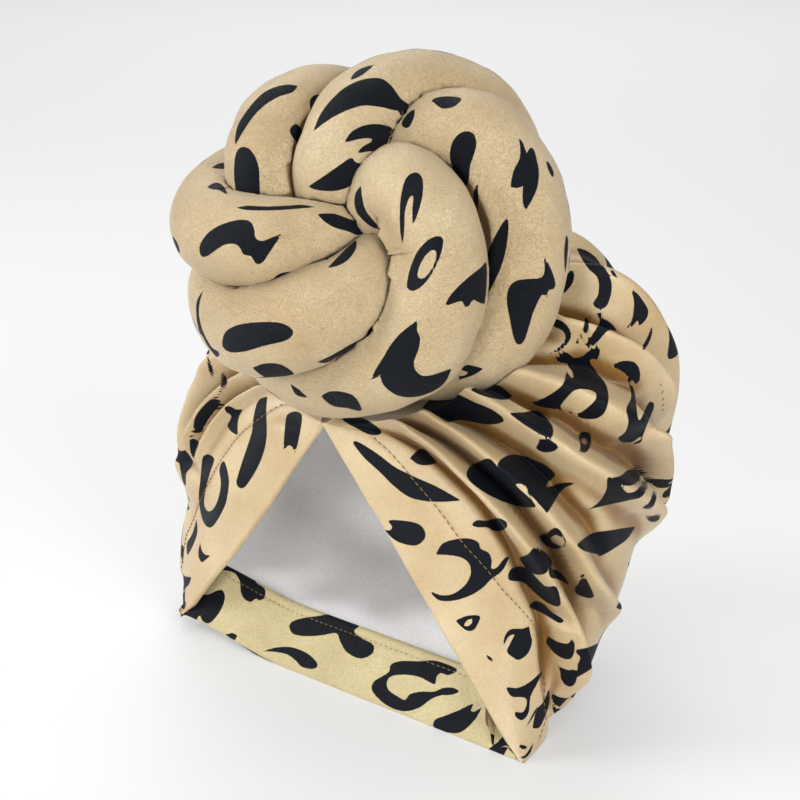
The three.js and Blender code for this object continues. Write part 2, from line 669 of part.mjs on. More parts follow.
add('cap_shell', wallGeometry(shellOuter, shellInner), printedSatin);
const lastColumn = shellAcrosses.length - 1;
add('hem_left', hemGeometry(0, COLUMN_STRETCHES[0].steps), wrongSide);
add('hem_right', hemGeometry(lastColumn - COLUMN_STRETCHES.at(-1).steps, lastColumn), wrongSide);
add('nape_band', bandGeometry(), wrongSide);
add('lining', liningGeometry(), whiteSatin);
for (const name of Object.keys(ROLLS)) {
  add(`roll_${name}`, rollGeometry(name), printedSatin);
}

export default turban;
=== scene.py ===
"""Turban headwrap in printed satin: a gathered cap with a padded swirl knot over its brow.

Lengths in the tables are millimetres, as in the part's source; meshes are metres.
"""

import math

import bpy
import numpy as np
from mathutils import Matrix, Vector


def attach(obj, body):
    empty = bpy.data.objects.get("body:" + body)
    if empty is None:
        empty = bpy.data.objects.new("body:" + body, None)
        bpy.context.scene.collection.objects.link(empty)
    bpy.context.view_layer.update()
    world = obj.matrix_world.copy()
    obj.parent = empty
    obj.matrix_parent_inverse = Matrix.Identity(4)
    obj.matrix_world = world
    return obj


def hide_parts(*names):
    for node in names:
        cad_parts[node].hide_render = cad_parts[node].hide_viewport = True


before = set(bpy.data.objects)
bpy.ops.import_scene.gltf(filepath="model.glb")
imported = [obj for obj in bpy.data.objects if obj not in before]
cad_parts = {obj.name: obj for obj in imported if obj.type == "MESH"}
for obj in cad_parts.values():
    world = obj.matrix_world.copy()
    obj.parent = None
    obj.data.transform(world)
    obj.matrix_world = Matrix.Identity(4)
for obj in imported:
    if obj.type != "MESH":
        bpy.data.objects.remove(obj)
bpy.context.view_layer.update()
MM = 0.001

# Camera

CAMERA_AZIMUTH = 39.5
CAMERA_ELEVATION = 18.0
CAMERA_DISTANCE = 682.0
CAMERA_TARGET = np.array([35.0, -40.0, 141.0])
PHOTO_FOCAL = 1700.0
PHOTO_MIDDLE = 400.0
SENSOR = 36.0


def camera_axes():
    """Right, up and backward directions of a camera that looks down at its elevation."""
    azimuth, elevation = np.radians([CAMERA_AZIMUTH, CAMERA_ELEVATION])
    back = np.array([
        math.sin(azimuth) * math.cos(elevation),
        -math.cos(azimuth) * math.cos(elevation),
        math.sin(elevation),
    ])
    right = np.array([math.cos(azimuth), math.sin(azimuth), 0.0])
    return right, np.cross(back, right), back


VIEW_RIGHT, VIEW_UP, VIEW_BACK = camera_axes()
EYE = CAMERA_TARGET + VIEW_BACK * CAMERA_DISTANCE

camera_data = bpy.data.cameras.new("camera")
camera_data.sensor_width = SENSOR
camera_data.lens = PHOTO_FOCAL * SENSOR / (2 * PHOTO_MIDDLE)
camera = bpy.data.objects.new("camera", camera_data)
camera.location = Vector(EYE * MM)
camera.rotation_euler = Vector(-VIEW_BACK).to_track_quat("-Z", "Y").to_euler()
bpy.context.scene.collection.objects.link(camera)
bpy.context.scene.camera = camera


def to_photo(points):
    """Photograph pixel (across, down) of each point: the pinhole projection."""
    away = points - EYE
    depth = -(away @ VIEW_BACK)
    return np.stack([
        PHOTO_MIDDLE + PHOTO_FOCAL * (away @ VIEW_RIGHT) / depth,
        PHOTO_MIDDLE - PHOTO_FOCAL * (away @ VIEW_UP) / depth,
    ], -1)


# Curves and grids

def smooth_rise(value, low, high):
    """0 below low and 1 above high, with the level-ended cubic 3s^2 - 2s^3 between."""
    share = np.clip((value - low) / (high - low), 0, 1)
    return share * share * (3 - 2 * share)


def steady_curve(xs, ys):
    """Cubic pieces through the points whose inner slopes are the weighted harmonic means of
    the slopes on both sides, so that the curve never swings past a point."""
    xs = np.array(xs, float)
    ys = np.array(ys, float)
    steps = np.diff(xs)
    slopes = np.diff(ys) / steps
    before = 2 * steps[1:] + steps[:-1]
    after = steps[1:] + 2 * steps[:-1]
    same_way = slopes[:-1] * slopes[1:] > 0
    safe_left = np.where(same_way, slopes[:-1], 1)
    safe_right = np.where(same_way, slopes[1:], 1)
    inner = np.where(same_way, (before + after) / (before / safe_left + after / safe_right), 0)
    tangents = np.concatenate([slopes[:1], inner, slopes[-1:]])

    def curve(x):
        i = np.clip(np.searchsorted(xs, x, side="left") - 1, 0, len(steps) - 1)
        s = (x - xs[i]) / steps[i]
        rest = 1 - s
        start = (1 + 2 * s) * rest * rest * ys[i] + s * rest * rest * steps[i] * tangents[i]
        end = s * s * (3 - 2 * s) * ys[i + 1] - s * s * rest * steps[i] * tangents[i + 1]
        return start + end

    return curve


def spread(stretches):
    """Values from 0 up through each (end value, number of equal steps) in turn."""
    values = [np.zeros(1)]
    for end, steps in stretches:
        values.append(np.linspace(values[-1][-1], end, steps + 1)[1:])
    return np.concatenate(values)


def unit(vectors):
    """Each vector divided by its length."""
    return vectors / np.maximum(np.linalg.norm(vectors, axis=-1, keepdims=True), 1e-9)


def grid_normals(grid):
    """Unit normals of a grid: the way across crossed with the way down."""
    return unit(np.cross(np.gradient(grid, axis=1), np.gradient(grid, axis=0)))


def tube_normals(grid):
    """Unit normals of a tube of rings: the way around, which closes, crossed with the way along."""
    around = np.roll(grid, -1, 1) - np.roll(grid, 1, 1)
    return unit(np.cross(around, np.gradient(grid, axis=0)))


def doubled(values, axis, closed):
    """Twice the steps along an axis: each new value is 9/16 of its two neighbours less 1/16
    of the next two out."""
    old = np.moveaxis(values, axis, 0)
    if closed:
        middles = (9 * (old + np.roll(old, -1, 0)) - np.roll(old, 1, 0) - np.roll(old, -2, 0)) / 16
    else:
        wide = np.concatenate([2 * old[:1] - old[1:2], old, 2 * old[-1:] - old[-2:-1]])
        middles = (9 * (old[:-1] + old[1:]) - wide[:-3] - wide[3:]) / 16
    new = np.empty((len(old) + len(middles),) + old.shape[1:])
    new[::2] = old
    new[1::2] = middles
    return np.moveaxis(new, 0, axis)


def lumps(points, size, seed):
    """Soft unevenness between about -1 and 1: a sum of eight sine waves in seeded directions
    with wavelengths around size."""
    random = np.random.default_rng(seed)
    ways = unit(random.normal(size=(8, 3)))
    lengths = size * random.uniform(0.7, 1.5, 8)
    phases = random.uniform(0, 2 * math.pi, 8)
    return np.sin(points @ ways.T * (2 * math.pi / lengths) + phases).sum(-1) / 4


def eased(grid, times):
    """Values eased smooth: each inner one goes to the mean of its four neighbours, again and
    again, while the edges stay."""
    grid = grid.copy()
    for _ in range(times):
        grid[1:-1, 1:-1] = (grid[:-2, 1:-1] + grid[2:, 1:-1] + grid[1:-1, :-2]
                            + grid[1:-1, 2:]) / 4
    return grid


def grid_faces(rows, columns, closed=False):
    """Four-cornered faces of a grid of points; a closed one joins its last column to its first."""
    index = np.arange(rows * columns).reshape(rows, columns)
    if closed:
        index = np.concatenate([index, index[:, :1]], 1)
    corners = [index[:-1, :-1], index[:-1, 1:], index[1:, 1:], index[1:, :-1]]
    return np.stack(corners, -1).reshape(-1, 4)


def new_piece(name, points, faces, material, attributes=()):
    """Object from points in millimetres and lists of faces, smooth, riding on the part."""
    mesh = bpy.data.meshes.new(name)
    mesh.from_pydata((points.reshape(-1, 3) * MM).tolist(), [], faces)
    mesh.polygons.foreach_set("use_smooth", np.ones(len(mesh.polygons), bool))
    for label, values in attributes:
        layer = mesh.attributes.new(label, "FLOAT", "POINT")
        layer.data.foreach_set("value", values.ravel().astype(np.float32))
    mesh.materials.append(material)
    mesh.update()
    piece = bpy.data.objects.new(name, mesh)
    bpy.context.scene.collection.objects.link(piece)
    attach(piece, "root")
    return piece


# Sizes shared with the part

MOUTH_HALF_WIDTH = 98
MOUTH_HEIGHT = 126
APEX_LEAN = 8
LEFT_CORNER_LIFT = 7
LIFT_FROM_SHARE = 0.3
CAP_HALF_WIDTH = 112
CAP_DEPTH = 152
NAPE_AHEAD = 40
KNOT_RADIUS = 76
ROLL_RADIUS = 20.5
KNOT_CENTRE = np.array([8.0, -25.0, 202.0])
KNOT_OUT = VIEW_BACK
KNOT_ASIDE = VIEW_RIGHT
KNOT_UP = VIEW_UP

# Sections of the cap from the apex of the mouth (down 0) to the nape edge (down 1).
# Columns: down, tilt in degrees, half width and depth and brow as shares of the cap's own,
# roundness power, sideways shift as a share of the half width
SECTIONS = np.array([
    (0.000, 20, 0.020, 0.0500, 0.00, 2.0, 0.000),
    (0.030, 34, 0.340, 0.5300, 0.00, 2.0, 0.000),
    (0.070, 42, 0.580, 0.7600, 0.01, 2.1, 0.000),
    (0.130, 42, 0.800, 0.8900, 0.03, 2.2, -0.010),
    (0.220, 35, 0.950, 0.9700, 0.06, 2.2, -0.020),
    (0.340, 25, 1.000, 1.0000, 0.09, 2.3, -0.040),
    (0.480, 14, 0.975, 0.9400, 0.11, 2.3, -0.045),
    (0.620, 6, 0.970, 0.8600, 0.11, 2.2, -0.070),
    (0.750, 0, 0.980, 0.7400, 0.10, 2.2, -0.110),
    (0.860, -5, 0.970, 0.6100, 0.08, 2.2, -0.120),
    (0.940, -7, 0.945, 0.4700, 0.04, 2.2, -0.105),
    (0.985, -6, 0.900, 0.2400, 0.01, 2.2, -0.040),
    (1.000, 0, 0.890, 0.0001, 0.00, 2.2, 0.000),
])
EDGE_FADE = 0.12
EDGE_WITHIN_SECTION = 0.995

# Pleats round the back, fanned from under the knot. Columns: place across at the top and at
# the low end, down where it starts and ends, height in millimetres, width across
BACK_PLEATS = [
    (0.156, 0.142, 0.05, 0.62, 3.4, 0.014),
    (0.185, 0.170, 0.05, 0.86, 5.2, 0.018),
    (0.216, 0.204, 0.06, 0.60, 2.0, 0.009),
    (0.250, 0.235, 0.06, 0.80, 5.6, 0.019),
    (0.286, 0.272, 0.06, 0.62, 2.0, 0.010),
    (0.320, 0.312, 0.06, 0.88, 6.0, 0.021),
    (0.354, 0.350, 0.06, 0.55, 2.0, 0.010),
    (0.390, 0.388, 0.06, 0.78, 5.4, 0.021),
    (0.425, 0.428, 0.06, 0.66, 2.2, 0.010),
    (0.460, 0.465, 0.06, 0.90, 6.4, 0.021),
    (0.498, 0.502, 0.06, 0.60, 2.0, 0.010),
    (0.535, 0.540, 0.06, 0.80, 5.8, 0.021),
    (0.568, 0.578, 0.06, 0.62, 2.2, 0.009),
    (0.600, 0.615, 0.06, 0.88, 6.2, 0.019),
    (0.627, 0.642, 0.06, 0.50, 2.0, 0.008),
]
# Folds on the two sides that the photograph shows, negative heights for the creases between
# them. Columns: height in millimetres before FOLD_DEPTH, width across before FOLD_WIDTH, line
# as (down, across) points
SIDE_FOLDS = [
    # beside the right hem, from the hem backwards
    (-3.6, 0.0069, [(0.04, 0.907), (0.14, 0.906), (0.25, 0.898), (0.35, 0.891), (0.48, 0.885),
                    (0.60, 0.884), (0.73, 0.887), (0.96, 0.902)]),
    (7.0, 0.0095, [(0.03, 0.896), (0.09, 0.895), (0.15, 0.893), (0.25, 0.886), (0.36, 0.874),
                   (0.51, 0.863), (0.67, 0.857), (0.80, 0.853), (0.99, 0.872)]),
    (-5.0, 0.0069, [(0.04, 0.880), (0.13, 0.881), (0.27, 0.871), (0.35, 0.862), (0.42, 0.855),
                    (0.53, 0.846), (0.67, 0.837), (0.84, 0.828)]),
    (5.0, 0.0130, [(0.58, 0.872), (0.74, 0.863), (0.84, 0.860), (1.18, 0.868)]),
    (-8.4, 0.0092, [(0.60, 0.842), (0.70, 0.832), (0.80, 0.822), (0.90, 0.816), (1.15, 0.815)]),
    (7.2, 0.0120, [(0.03, 0.865), (0.09, 0.868), (0.14, 0.866), (0.22, 0.862), (0.28, 0.856),
                   (0.39, 0.842), (0.50, 0.829), (0.59, 0.813), (0.66, 0.790), (0.78, 0.750)]),
    (-4.5, 0.0075, [(0.04, 0.846), (0.11, 0.848), (0.19, 0.846), (0.26, 0.839), (0.33, 0.827),
                    (0.40, 0.813), (0.52, 0.800)]),
    (8.0, 0.0140, [(0.03, 0.810), (0.11, 0.825), (0.19, 0.820), (0.26, 0.807), (0.32, 0.793),
                   (0.38, 0.777), (0.47, 0.750), (0.62, 0.700)]),
    (2.6, 0.0055, [(0.03, 0.795), (0.08, 0.804), (0.11, 0.811), (0.19, 0.812)]),
    (-5.6, 0.0080, [(0.06, 0.797), (0.13, 0.801), (0.15, 0.797), (0.19, 0.795), (0.26, 0.782),
                    (0.30, 0.771), (0.34, 0.761), (0.42, 0.735), (0.55, 0.700)]),
    (5.6, 0.0150, [(0.05, 0.782), (0.12, 0.778), (0.16, 0.776), (0.22, 0.768), (0.28, 0.752),
                   (0.36, 0.738)]),
    (6.0, 0.0110, [(0.30, 0.748), (0.38, 0.733), (0.45, 0.713), (0.60, 0.675)]),
    (-7.0, 0.0103, [(0.26, 0.742), (0.33, 0.726), (0.40, 0.702), (0.55, 0.662)]),
    (-4.8, 0.0063, [(0.05, 0.757), (0.09, 0.752), (0.13, 0.746), (0.17, 0.744), (0.20, 0.740),
                    (0.27, 0.726)]),
    (6.2, 0.0100, [(0.05, 0.708), (0.09, 0.716), (0.11, 0.724), (0.15, 0.726), (0.19, 0.722),
                   (0.26, 0.712), (0.42, 0.690)]),
    (-5.9, 0.0069, [(0.05, 0.682), (0.09, 0.691), (0.12, 0.697), (0.15, 0.700), (0.19, 0.700),
                    (0.24, 0.696), (0.36, 0.680)]),
    (7.0, 0.0170, [(0.05, 0.655), (0.15, 0.665), (0.25, 0.668), (0.40, 0.655), (0.62, 0.640)]),
    # beside the left hem, from the hem backwards
    (3.2, 0.0050, [(0.04, 0.124), (0.08, 0.107), (0.12, 0.096), (0.19, 0.088), (0.26, 0.085),
                   (0.40, 0.082)]),
    (-4.5, 0.0048, [(0.04, 0.134), (0.09, 0.116), (0.14, 0.105), (0.20, 0.100), (0.34, 0.094)]),
    (4.4, 0.0060, [(0.04, 0.146), (0.09, 0.127), (0.13, 0.115), (0.20, 0.109), (0.42, 0.101)]),
    (-4.2, 0.0057, [(0.05, 0.156), (0.10, 0.139), (0.14, 0.126), (0.22, 0.119), (0.36, 0.113)]),
    (4.6, 0.0130, [(0.04, 0.170), (0.10, 0.155), (0.18, 0.138), (0.30, 0.128), (0.62, 0.116)]),
    # broad swells of the left side: out beside the hem, in behind it, and out at the flap's edge
    (2.2, 0.0350, [(0.42, 0.100), (0.60, 0.100), (0.80, 0.090), (1.10, 0.080)]),
    (-2.6, 0.0400, [(0.15, 0.170), (0.30, 0.165), (0.50, 0.160)]),
    (2.0, 0.0300, [(0.05, 0.034), (0.60, 0.036), (0.80, 0.040), (1.20, 0.042)]),
]
# How far down a pleat rises to its height and dies away again
PLEAT_RISE = 0.06
PLEAT_FALL = 0.18
# A pleat's line wanders by a share of its width, in waves down the cloth
PLEAT_WANDER = 0.25
PLEAT_WAVES = 9
PLEAT_WAVE_SHIFT = 60
# How far down a fold rises before and after its start, and the share of its length that fades
FOLD_START = (-0.02, 0.03)
FOLD_FALL_SHARE = 0.35
FOLD_WIDTH = 0.82
FOLD_DEPTH = 1.75
RIDGE_POWER = 2.0
CREASE_POWER = 1.5

# Routes of the knot's rolls from the middle of the swirl, over its outside and back under it.
# Columns: aside, up and out as shares of KNOT_RADIUS, girth as a share of ROLL_RADIUS
ROLLS = {
    "front": [
        (0.01, 0.00, 0.10, 0.60), (0.05, 0.12, 0.34, 0.75), (0.15, 0.19, 0.50, 0.83),
        (0.255, 0.11, 0.57, 0.84), (0.36, -0.11, 0.56, 0.84), (0.335, -0.37, 0.51, 0.92),
        (0.235, -0.59, 0.42, 0.94), (0.05, -0.70, 0.30, 0.88), (-0.155, -0.79, 0.12, 0.72),
        (-0.35, -0.76, -0.06, 0.66), (-0.48, -0.60, -0.26, 0.80), (-0.42, -0.38, -0.45, 0.95),
        (-0.22, -0.22, -0.52, 0.85),
    ],
    "right": [
        (0.13, 0.22, 0.10, 0.70), (0.22, 0.40, 0.26, 0.80), (0.36, 0.49, 0.34, 0.86),
        (0.54, 0.455, 0.36, 0.90), (0.70, 0.28, 0.34, 0.92), (0.785, 0.04, 0.31, 0.90),
        (0.775, -0.23, 0.27, 0.88), (0.68, -0.47, 0.20, 0.88), (0.51, -0.62, 0.08, 0.82),
        (0.31, -0.66, -0.10, 0.82), (0.13, -0.56, -0.32, 0.90), (-0.02, -0.40, -0.50, 0.85),
    ],
    "top": [
        (-0.19, 0.17, 0.04, 0.56), (-0.19, 0.23, 0.27, 0.78), (-0.15, 0.365, 0.36, 0.86),
        (-0.065, 0.57, 0.33, 0.85), (0.115, 0.69, 0.26, 0.82), (0.315, 0.73, 0.17, 0.82),
        (0.53, 0.67, 0.07, 0.82), (0.67, 0.50, -0.07, 0.84), (0.70, 0.25, -0.25, 0.95),
        (0.60, 0.02, -0.42, 1.05), (0.42, -0.20, -0.53, 1.00), (0.22, -0.32, -0.50, 0.80),
    ],
    "upper_left": [
        (-0.52, -0.02, -0.02, 0.75), (-0.54, 0.165, 0.14, 0.78), (-0.56, 0.375, 0.20, 0.76),
        (-0.50, 0.57, 0.16, 0.73), (-0.36, 0.70, 0.06, 0.68), (-0.19, 0.735, -0.08, 0.70),
        (0.02, 0.68, -0.27, 0.90), (0.18, 0.50, -0.47, 1.12), (0.24, 0.22, -0.60, 1.15),
        (0.22, -0.02, -0.58, 0.90),
    ],
    "left": [
        (-0.05, 0.03, 0.24, 0.34), (-0.18, 0.00, 0.38, 0.52), (-0.385, -0.035, 0.38, 0.73),
        (-0.60, -0.055, 0.31, 0.90), (-0.79, 0.005, 0.18, 0.92), (-0.84, 0.15, 0.02, 0.80),
        (-0.74, 0.27, -0.15, 0.84), (-0.56, 0.36, -0.32, 0.95), (-0.40, 0.47, -0.42, 1.05),
        (-0.17, 0.44, -0.56, 1.10), (0.02, 0.25, -0.60, 0.90),
    ],
    "lower_left": [
        (0.08, -0.05, 0.24, 0.34), (0.03, -0.14, 0.37, 0.54), (-0.085, -0.315, 0.42, 0.84),
        (-0.26, -0.43, 0.37, 0.95), (-0.495, -0.505, 0.27, 0.96), (-0.65, -0.48, 0.12, 0.90),
        (-0.77, -0.365, -0.04, 0.80), (-0.75, -0.18, -0.22, 0.85), (-0.60, 0.00, -0.42, 1.00),
        (-0.38, 0.12, -0.56, 1.10), (-0.14, 0.03, -0.60, 0.95),
    ],
}

# Print

# The animal print's blotches, charted over enlarged views of the photograph. Each
# chart's origin is a photograph pixel and its scale is chart units per pixel. A point is
# (across, down), with a third value of 1 where the outline has a sharp tip.
PIXEL_MM = 0.403
KNOT_CHART = (150.0, 40.0, 3.484)
SIDE_CHART = (380.0, 360.0, 3.92)
CROWN_CHART = (540.0, 230.0, 4.75)
FLAP_CHART = (160.0, 340.0, 4.9)
BAND_CHART = (170.0, 520.0, 4.02)

KNOT_MARKS = {
    "left": [
        [(172, 735), (178, 705), (205, 670), (245, 645), (300, 628), (345, 630), (362, 655),
         (368, 690), (390, 700), (420, 690), (460, 672, 1), (440, 705), (415, 742), (395, 772),
         (372, 782), (360, 765), (350, 752), (325, 748), (318, 732), (300, 712), (265, 712),
         (235, 728), (205, 750), (182, 756)],
        [(199, 512, 1), (225, 497), (250, 503), (268, 530), (272, 542, 1), (240, 523), (215, 520)],
        [(298, 585, 1), (340, 577), (400, 580), (480, 577), (530, 574), (578, 582, 1),
         (520, 587), (440, 593), (350, 593)],
        [(583, 606, 1), (640, 605), (690, 622), (740, 640), (778, 658, 1), (735, 682),
         (690, 667), (640, 652), (605, 630)],
        [(433, 832), (455, 813), (500, 808), (562, 822, 1), (520, 842), (490, 857), (455, 856)],
        [(76, 685), (92, 700), (104, 735), (98, 750), (84, 730)],
        [(215, 445, 1), (240, 430), (266, 430), (266, 448), (235, 448)],
        [(150, 838, 1), (180, 848), (205, 868, 1), (175, 858)],
    ],
    "upper_left": [
        [(295, 372, 1), (303, 305), (337, 247), (385, 192), (430, 166), (480, 155), (516, 160, 1),
         (496, 182), (450, 197), (400, 227), (360, 267), (325, 318)],
        [(293, 480), (296, 410), (310, 378), (335, 374), (360, 395), (378, 440), (382, 500),
         (384, 575), (375, 583), (345, 583), (318, 578), (303, 540)],
        [(487, 315), (500, 295), (515, 295), (530, 320), (533, 350), (520, 374), (508, 352),
         (495, 337)],
        [(557, 215), (568, 195), (595, 190), (622, 198, 1), (606, 226), (582, 260), (568, 272),
         (560, 245)],
        [(680, 113, 1), (700, 111), (722, 119), (705, 130)],
    ],
    "top": [
        [(570, 318, 1), (590, 265), (630, 210), (680, 165), (740, 138), (800, 133), (840, 158),
         (875, 205), (918, 236), (895, 252), (878, 272), (866, 248), (850, 245), (810, 235),
         (750, 228), (700, 240), (650, 262), (610, 287)],
        [(676, 360, 1), (700, 322), (745, 298), (795, 293), (844, 308), (836, 345), (815, 387),
         (760, 388), (720, 399, 1), (738, 374), (774, 352), (765, 342), (730, 345), (700, 352)],
        [(548, 512, 1), (600, 478), (655, 440), (700, 410), (714, 424), (735, 430), (760, 425, 1),
         (742, 450), (722, 474), (702, 506), (650, 525), (590, 524)],
        [(695, 140, 1), (715, 112), (745, 95), (784, 86, 1), (752, 112), (725, 130)],
    ],
    "right": [
        [(980, 212), (1000, 200), (1040, 196), (1084, 203), (1070, 225), (1040, 238), (1010, 236),
         (997, 223)],
        [(876, 292), (893, 262), (921, 240), (919, 270), (905, 300), (890, 307)],
        [(900, 385), (908, 368), (930, 370), (955, 395), (976, 427, 1), (940, 413), (905, 399)],
        [(1045, 410), (1052, 360), (1075, 328), (1105, 318), (1130, 330), (1137, 365),
         (1128, 400), (1115, 440), (1110, 490), (1096, 516, 1), (1065, 470)],
        [(1283, 335, 1), (1300, 360), (1312, 397, 1), (1322, 378), (1335, 378), (1346, 410),
         (1355, 460), (1350, 510), (1332, 555), (1308, 595, 1), (1298, 560), (1300, 507, 1),
         (1280, 516), (1256, 512, 1), (1265, 460), (1285, 420), (1290, 380)],
        [(1127, 545), (1134, 512), (1143, 498, 1), (1143, 580), (1138, 622, 1)],
        [(1170, 780), (1185, 720), (1215, 660), (1240, 624), (1249, 640), (1245, 700),
         (1230, 770), (1206, 830), (1180, 880, 1), (1168, 830)],
        [(1368, 741, 1), (1388, 780), (1402, 810), (1413, 850), (1405, 868), (1388, 872),
         (1385, 901, 1), (1370, 885), (1355, 905), (1335, 950), (1320, 1000), (1305, 1045),
         (1285, 1063), (1268, 1040), (1255, 980), (1243, 910), (1252, 860), (1280, 838),
         (1320, 832), (1362, 828), (1375, 800)],
        [(1072, 1185, 1), (1085, 1150), (1100, 1133), (1130, 1136), (1162, 1145, 1), (1130, 1166),
         (1100, 1177)],
        [(1378, 416, 1), (1395, 435), (1407, 465), (1402, 478), (1388, 452)],
        [(1450, 676, 1), (1457, 700), (1453, 770), (1446, 820, 1), (1443, 740)],
    ],
    "front": [
        [(870, 600), (875, 540), (890, 485), (915, 463), (937, 465), (951, 490), (948, 550),
         (931, 610), (915, 647, 1), (914, 590), (918, 548), (913, 540), (900, 557), (888, 600),
         (886, 660), (880, 714, 1), (872, 670)],
        [(712, 560), (718, 530), (736, 506, 1), (738, 540), (750, 590), (775, 625), (808, 662, 1),
         (770, 650), (735, 620), (718, 595)],
        [(895, 850), (905, 800), (930, 740), (965, 700), (1000, 683), (1021, 695), (1015, 740),
         (990, 800), (955, 850), (920, 874), (900, 868)],
        [(1025, 929, 1), (1050, 885), (1100, 835), (1150, 795), (1172, 776), (1173, 850),
         (1166, 922, 1), (1140, 912), (1125, 905), (1108, 931), (1095, 925), (1085, 910),
         (1055, 918)],
        [(936, 974, 1), (930, 1010), (941, 1040), (935, 1080), (920, 1120), (925, 1150),
         (950, 1170), (990, 1165), (1051, 1144, 1), (1030, 1190), (990, 1222), (930, 1243),
         (870, 1241), (825, 1215), (806, 1186), (806, 1160, 1), (790, 1175), (767, 1185, 1),
         (788, 1145), (810, 1110), (840, 1060), (880, 1015)],
        [(597, 1240, 1), (625, 1225), (665, 1225), (710, 1240), (736, 1280), (730, 1293),
         (690, 1283), (640, 1276), (610, 1256)],
        [(488, 1198, 1), (515, 1215), (550, 1246, 1), (510, 1237)],
    ],
    "lower_left": [
        [(252, 1050), (265, 1015), (310, 992), (380, 983), (450, 985), (490, 1003), (498, 1025),
         (470, 1048), (400, 1065), (330, 1085), (280, 1088), (255, 1071)],
        [(357, 1142, 1), (395, 1128), (440, 1127), (475, 1140), (505, 1165), (513, 1183),
         (480, 1191), (430, 1186), (385, 1166)],
        [(581, 1122, 1), (630, 1100), (700, 1060), (760, 1030), (802, 1018, 1), (780, 1060),
         (740, 1095), (690, 1125), (650, 1145), (625, 1156, 1), (618, 1140), (625, 1125),
         (605, 1126)],
        [(618, 794, 1), (660, 750), (695, 715), (718, 698), (716, 730), (690, 766), (655, 786)],
        [(188, 868, 1), (174, 910), (171, 960), (187, 1020), (215, 1070), (235, 1083),
         (243, 1095), (235, 1104), (222, 1100), (190, 1062), (168, 1002), (161, 950), (165, 905)],
        [(525, 1183, 1), (560, 1172), (607, 1163, 1), (580, 1186), (545, 1191)],
    ],
}
KNOT_HOLES = {
    "front": [
        [(932, 815), (945, 775), (970, 740), (990, 732), (998, 750), (985, 790), (960, 825),
         (940, 832)],
    ],
    "right": [
        [(1080, 1163), (1095, 1153), (1108, 1158), (1098, 1168), (1084, 1171)],
    ],
    "left": [
        [(498, 842, 1), (528, 831), (566, 831, 1), (530, 842)],
    ],
}

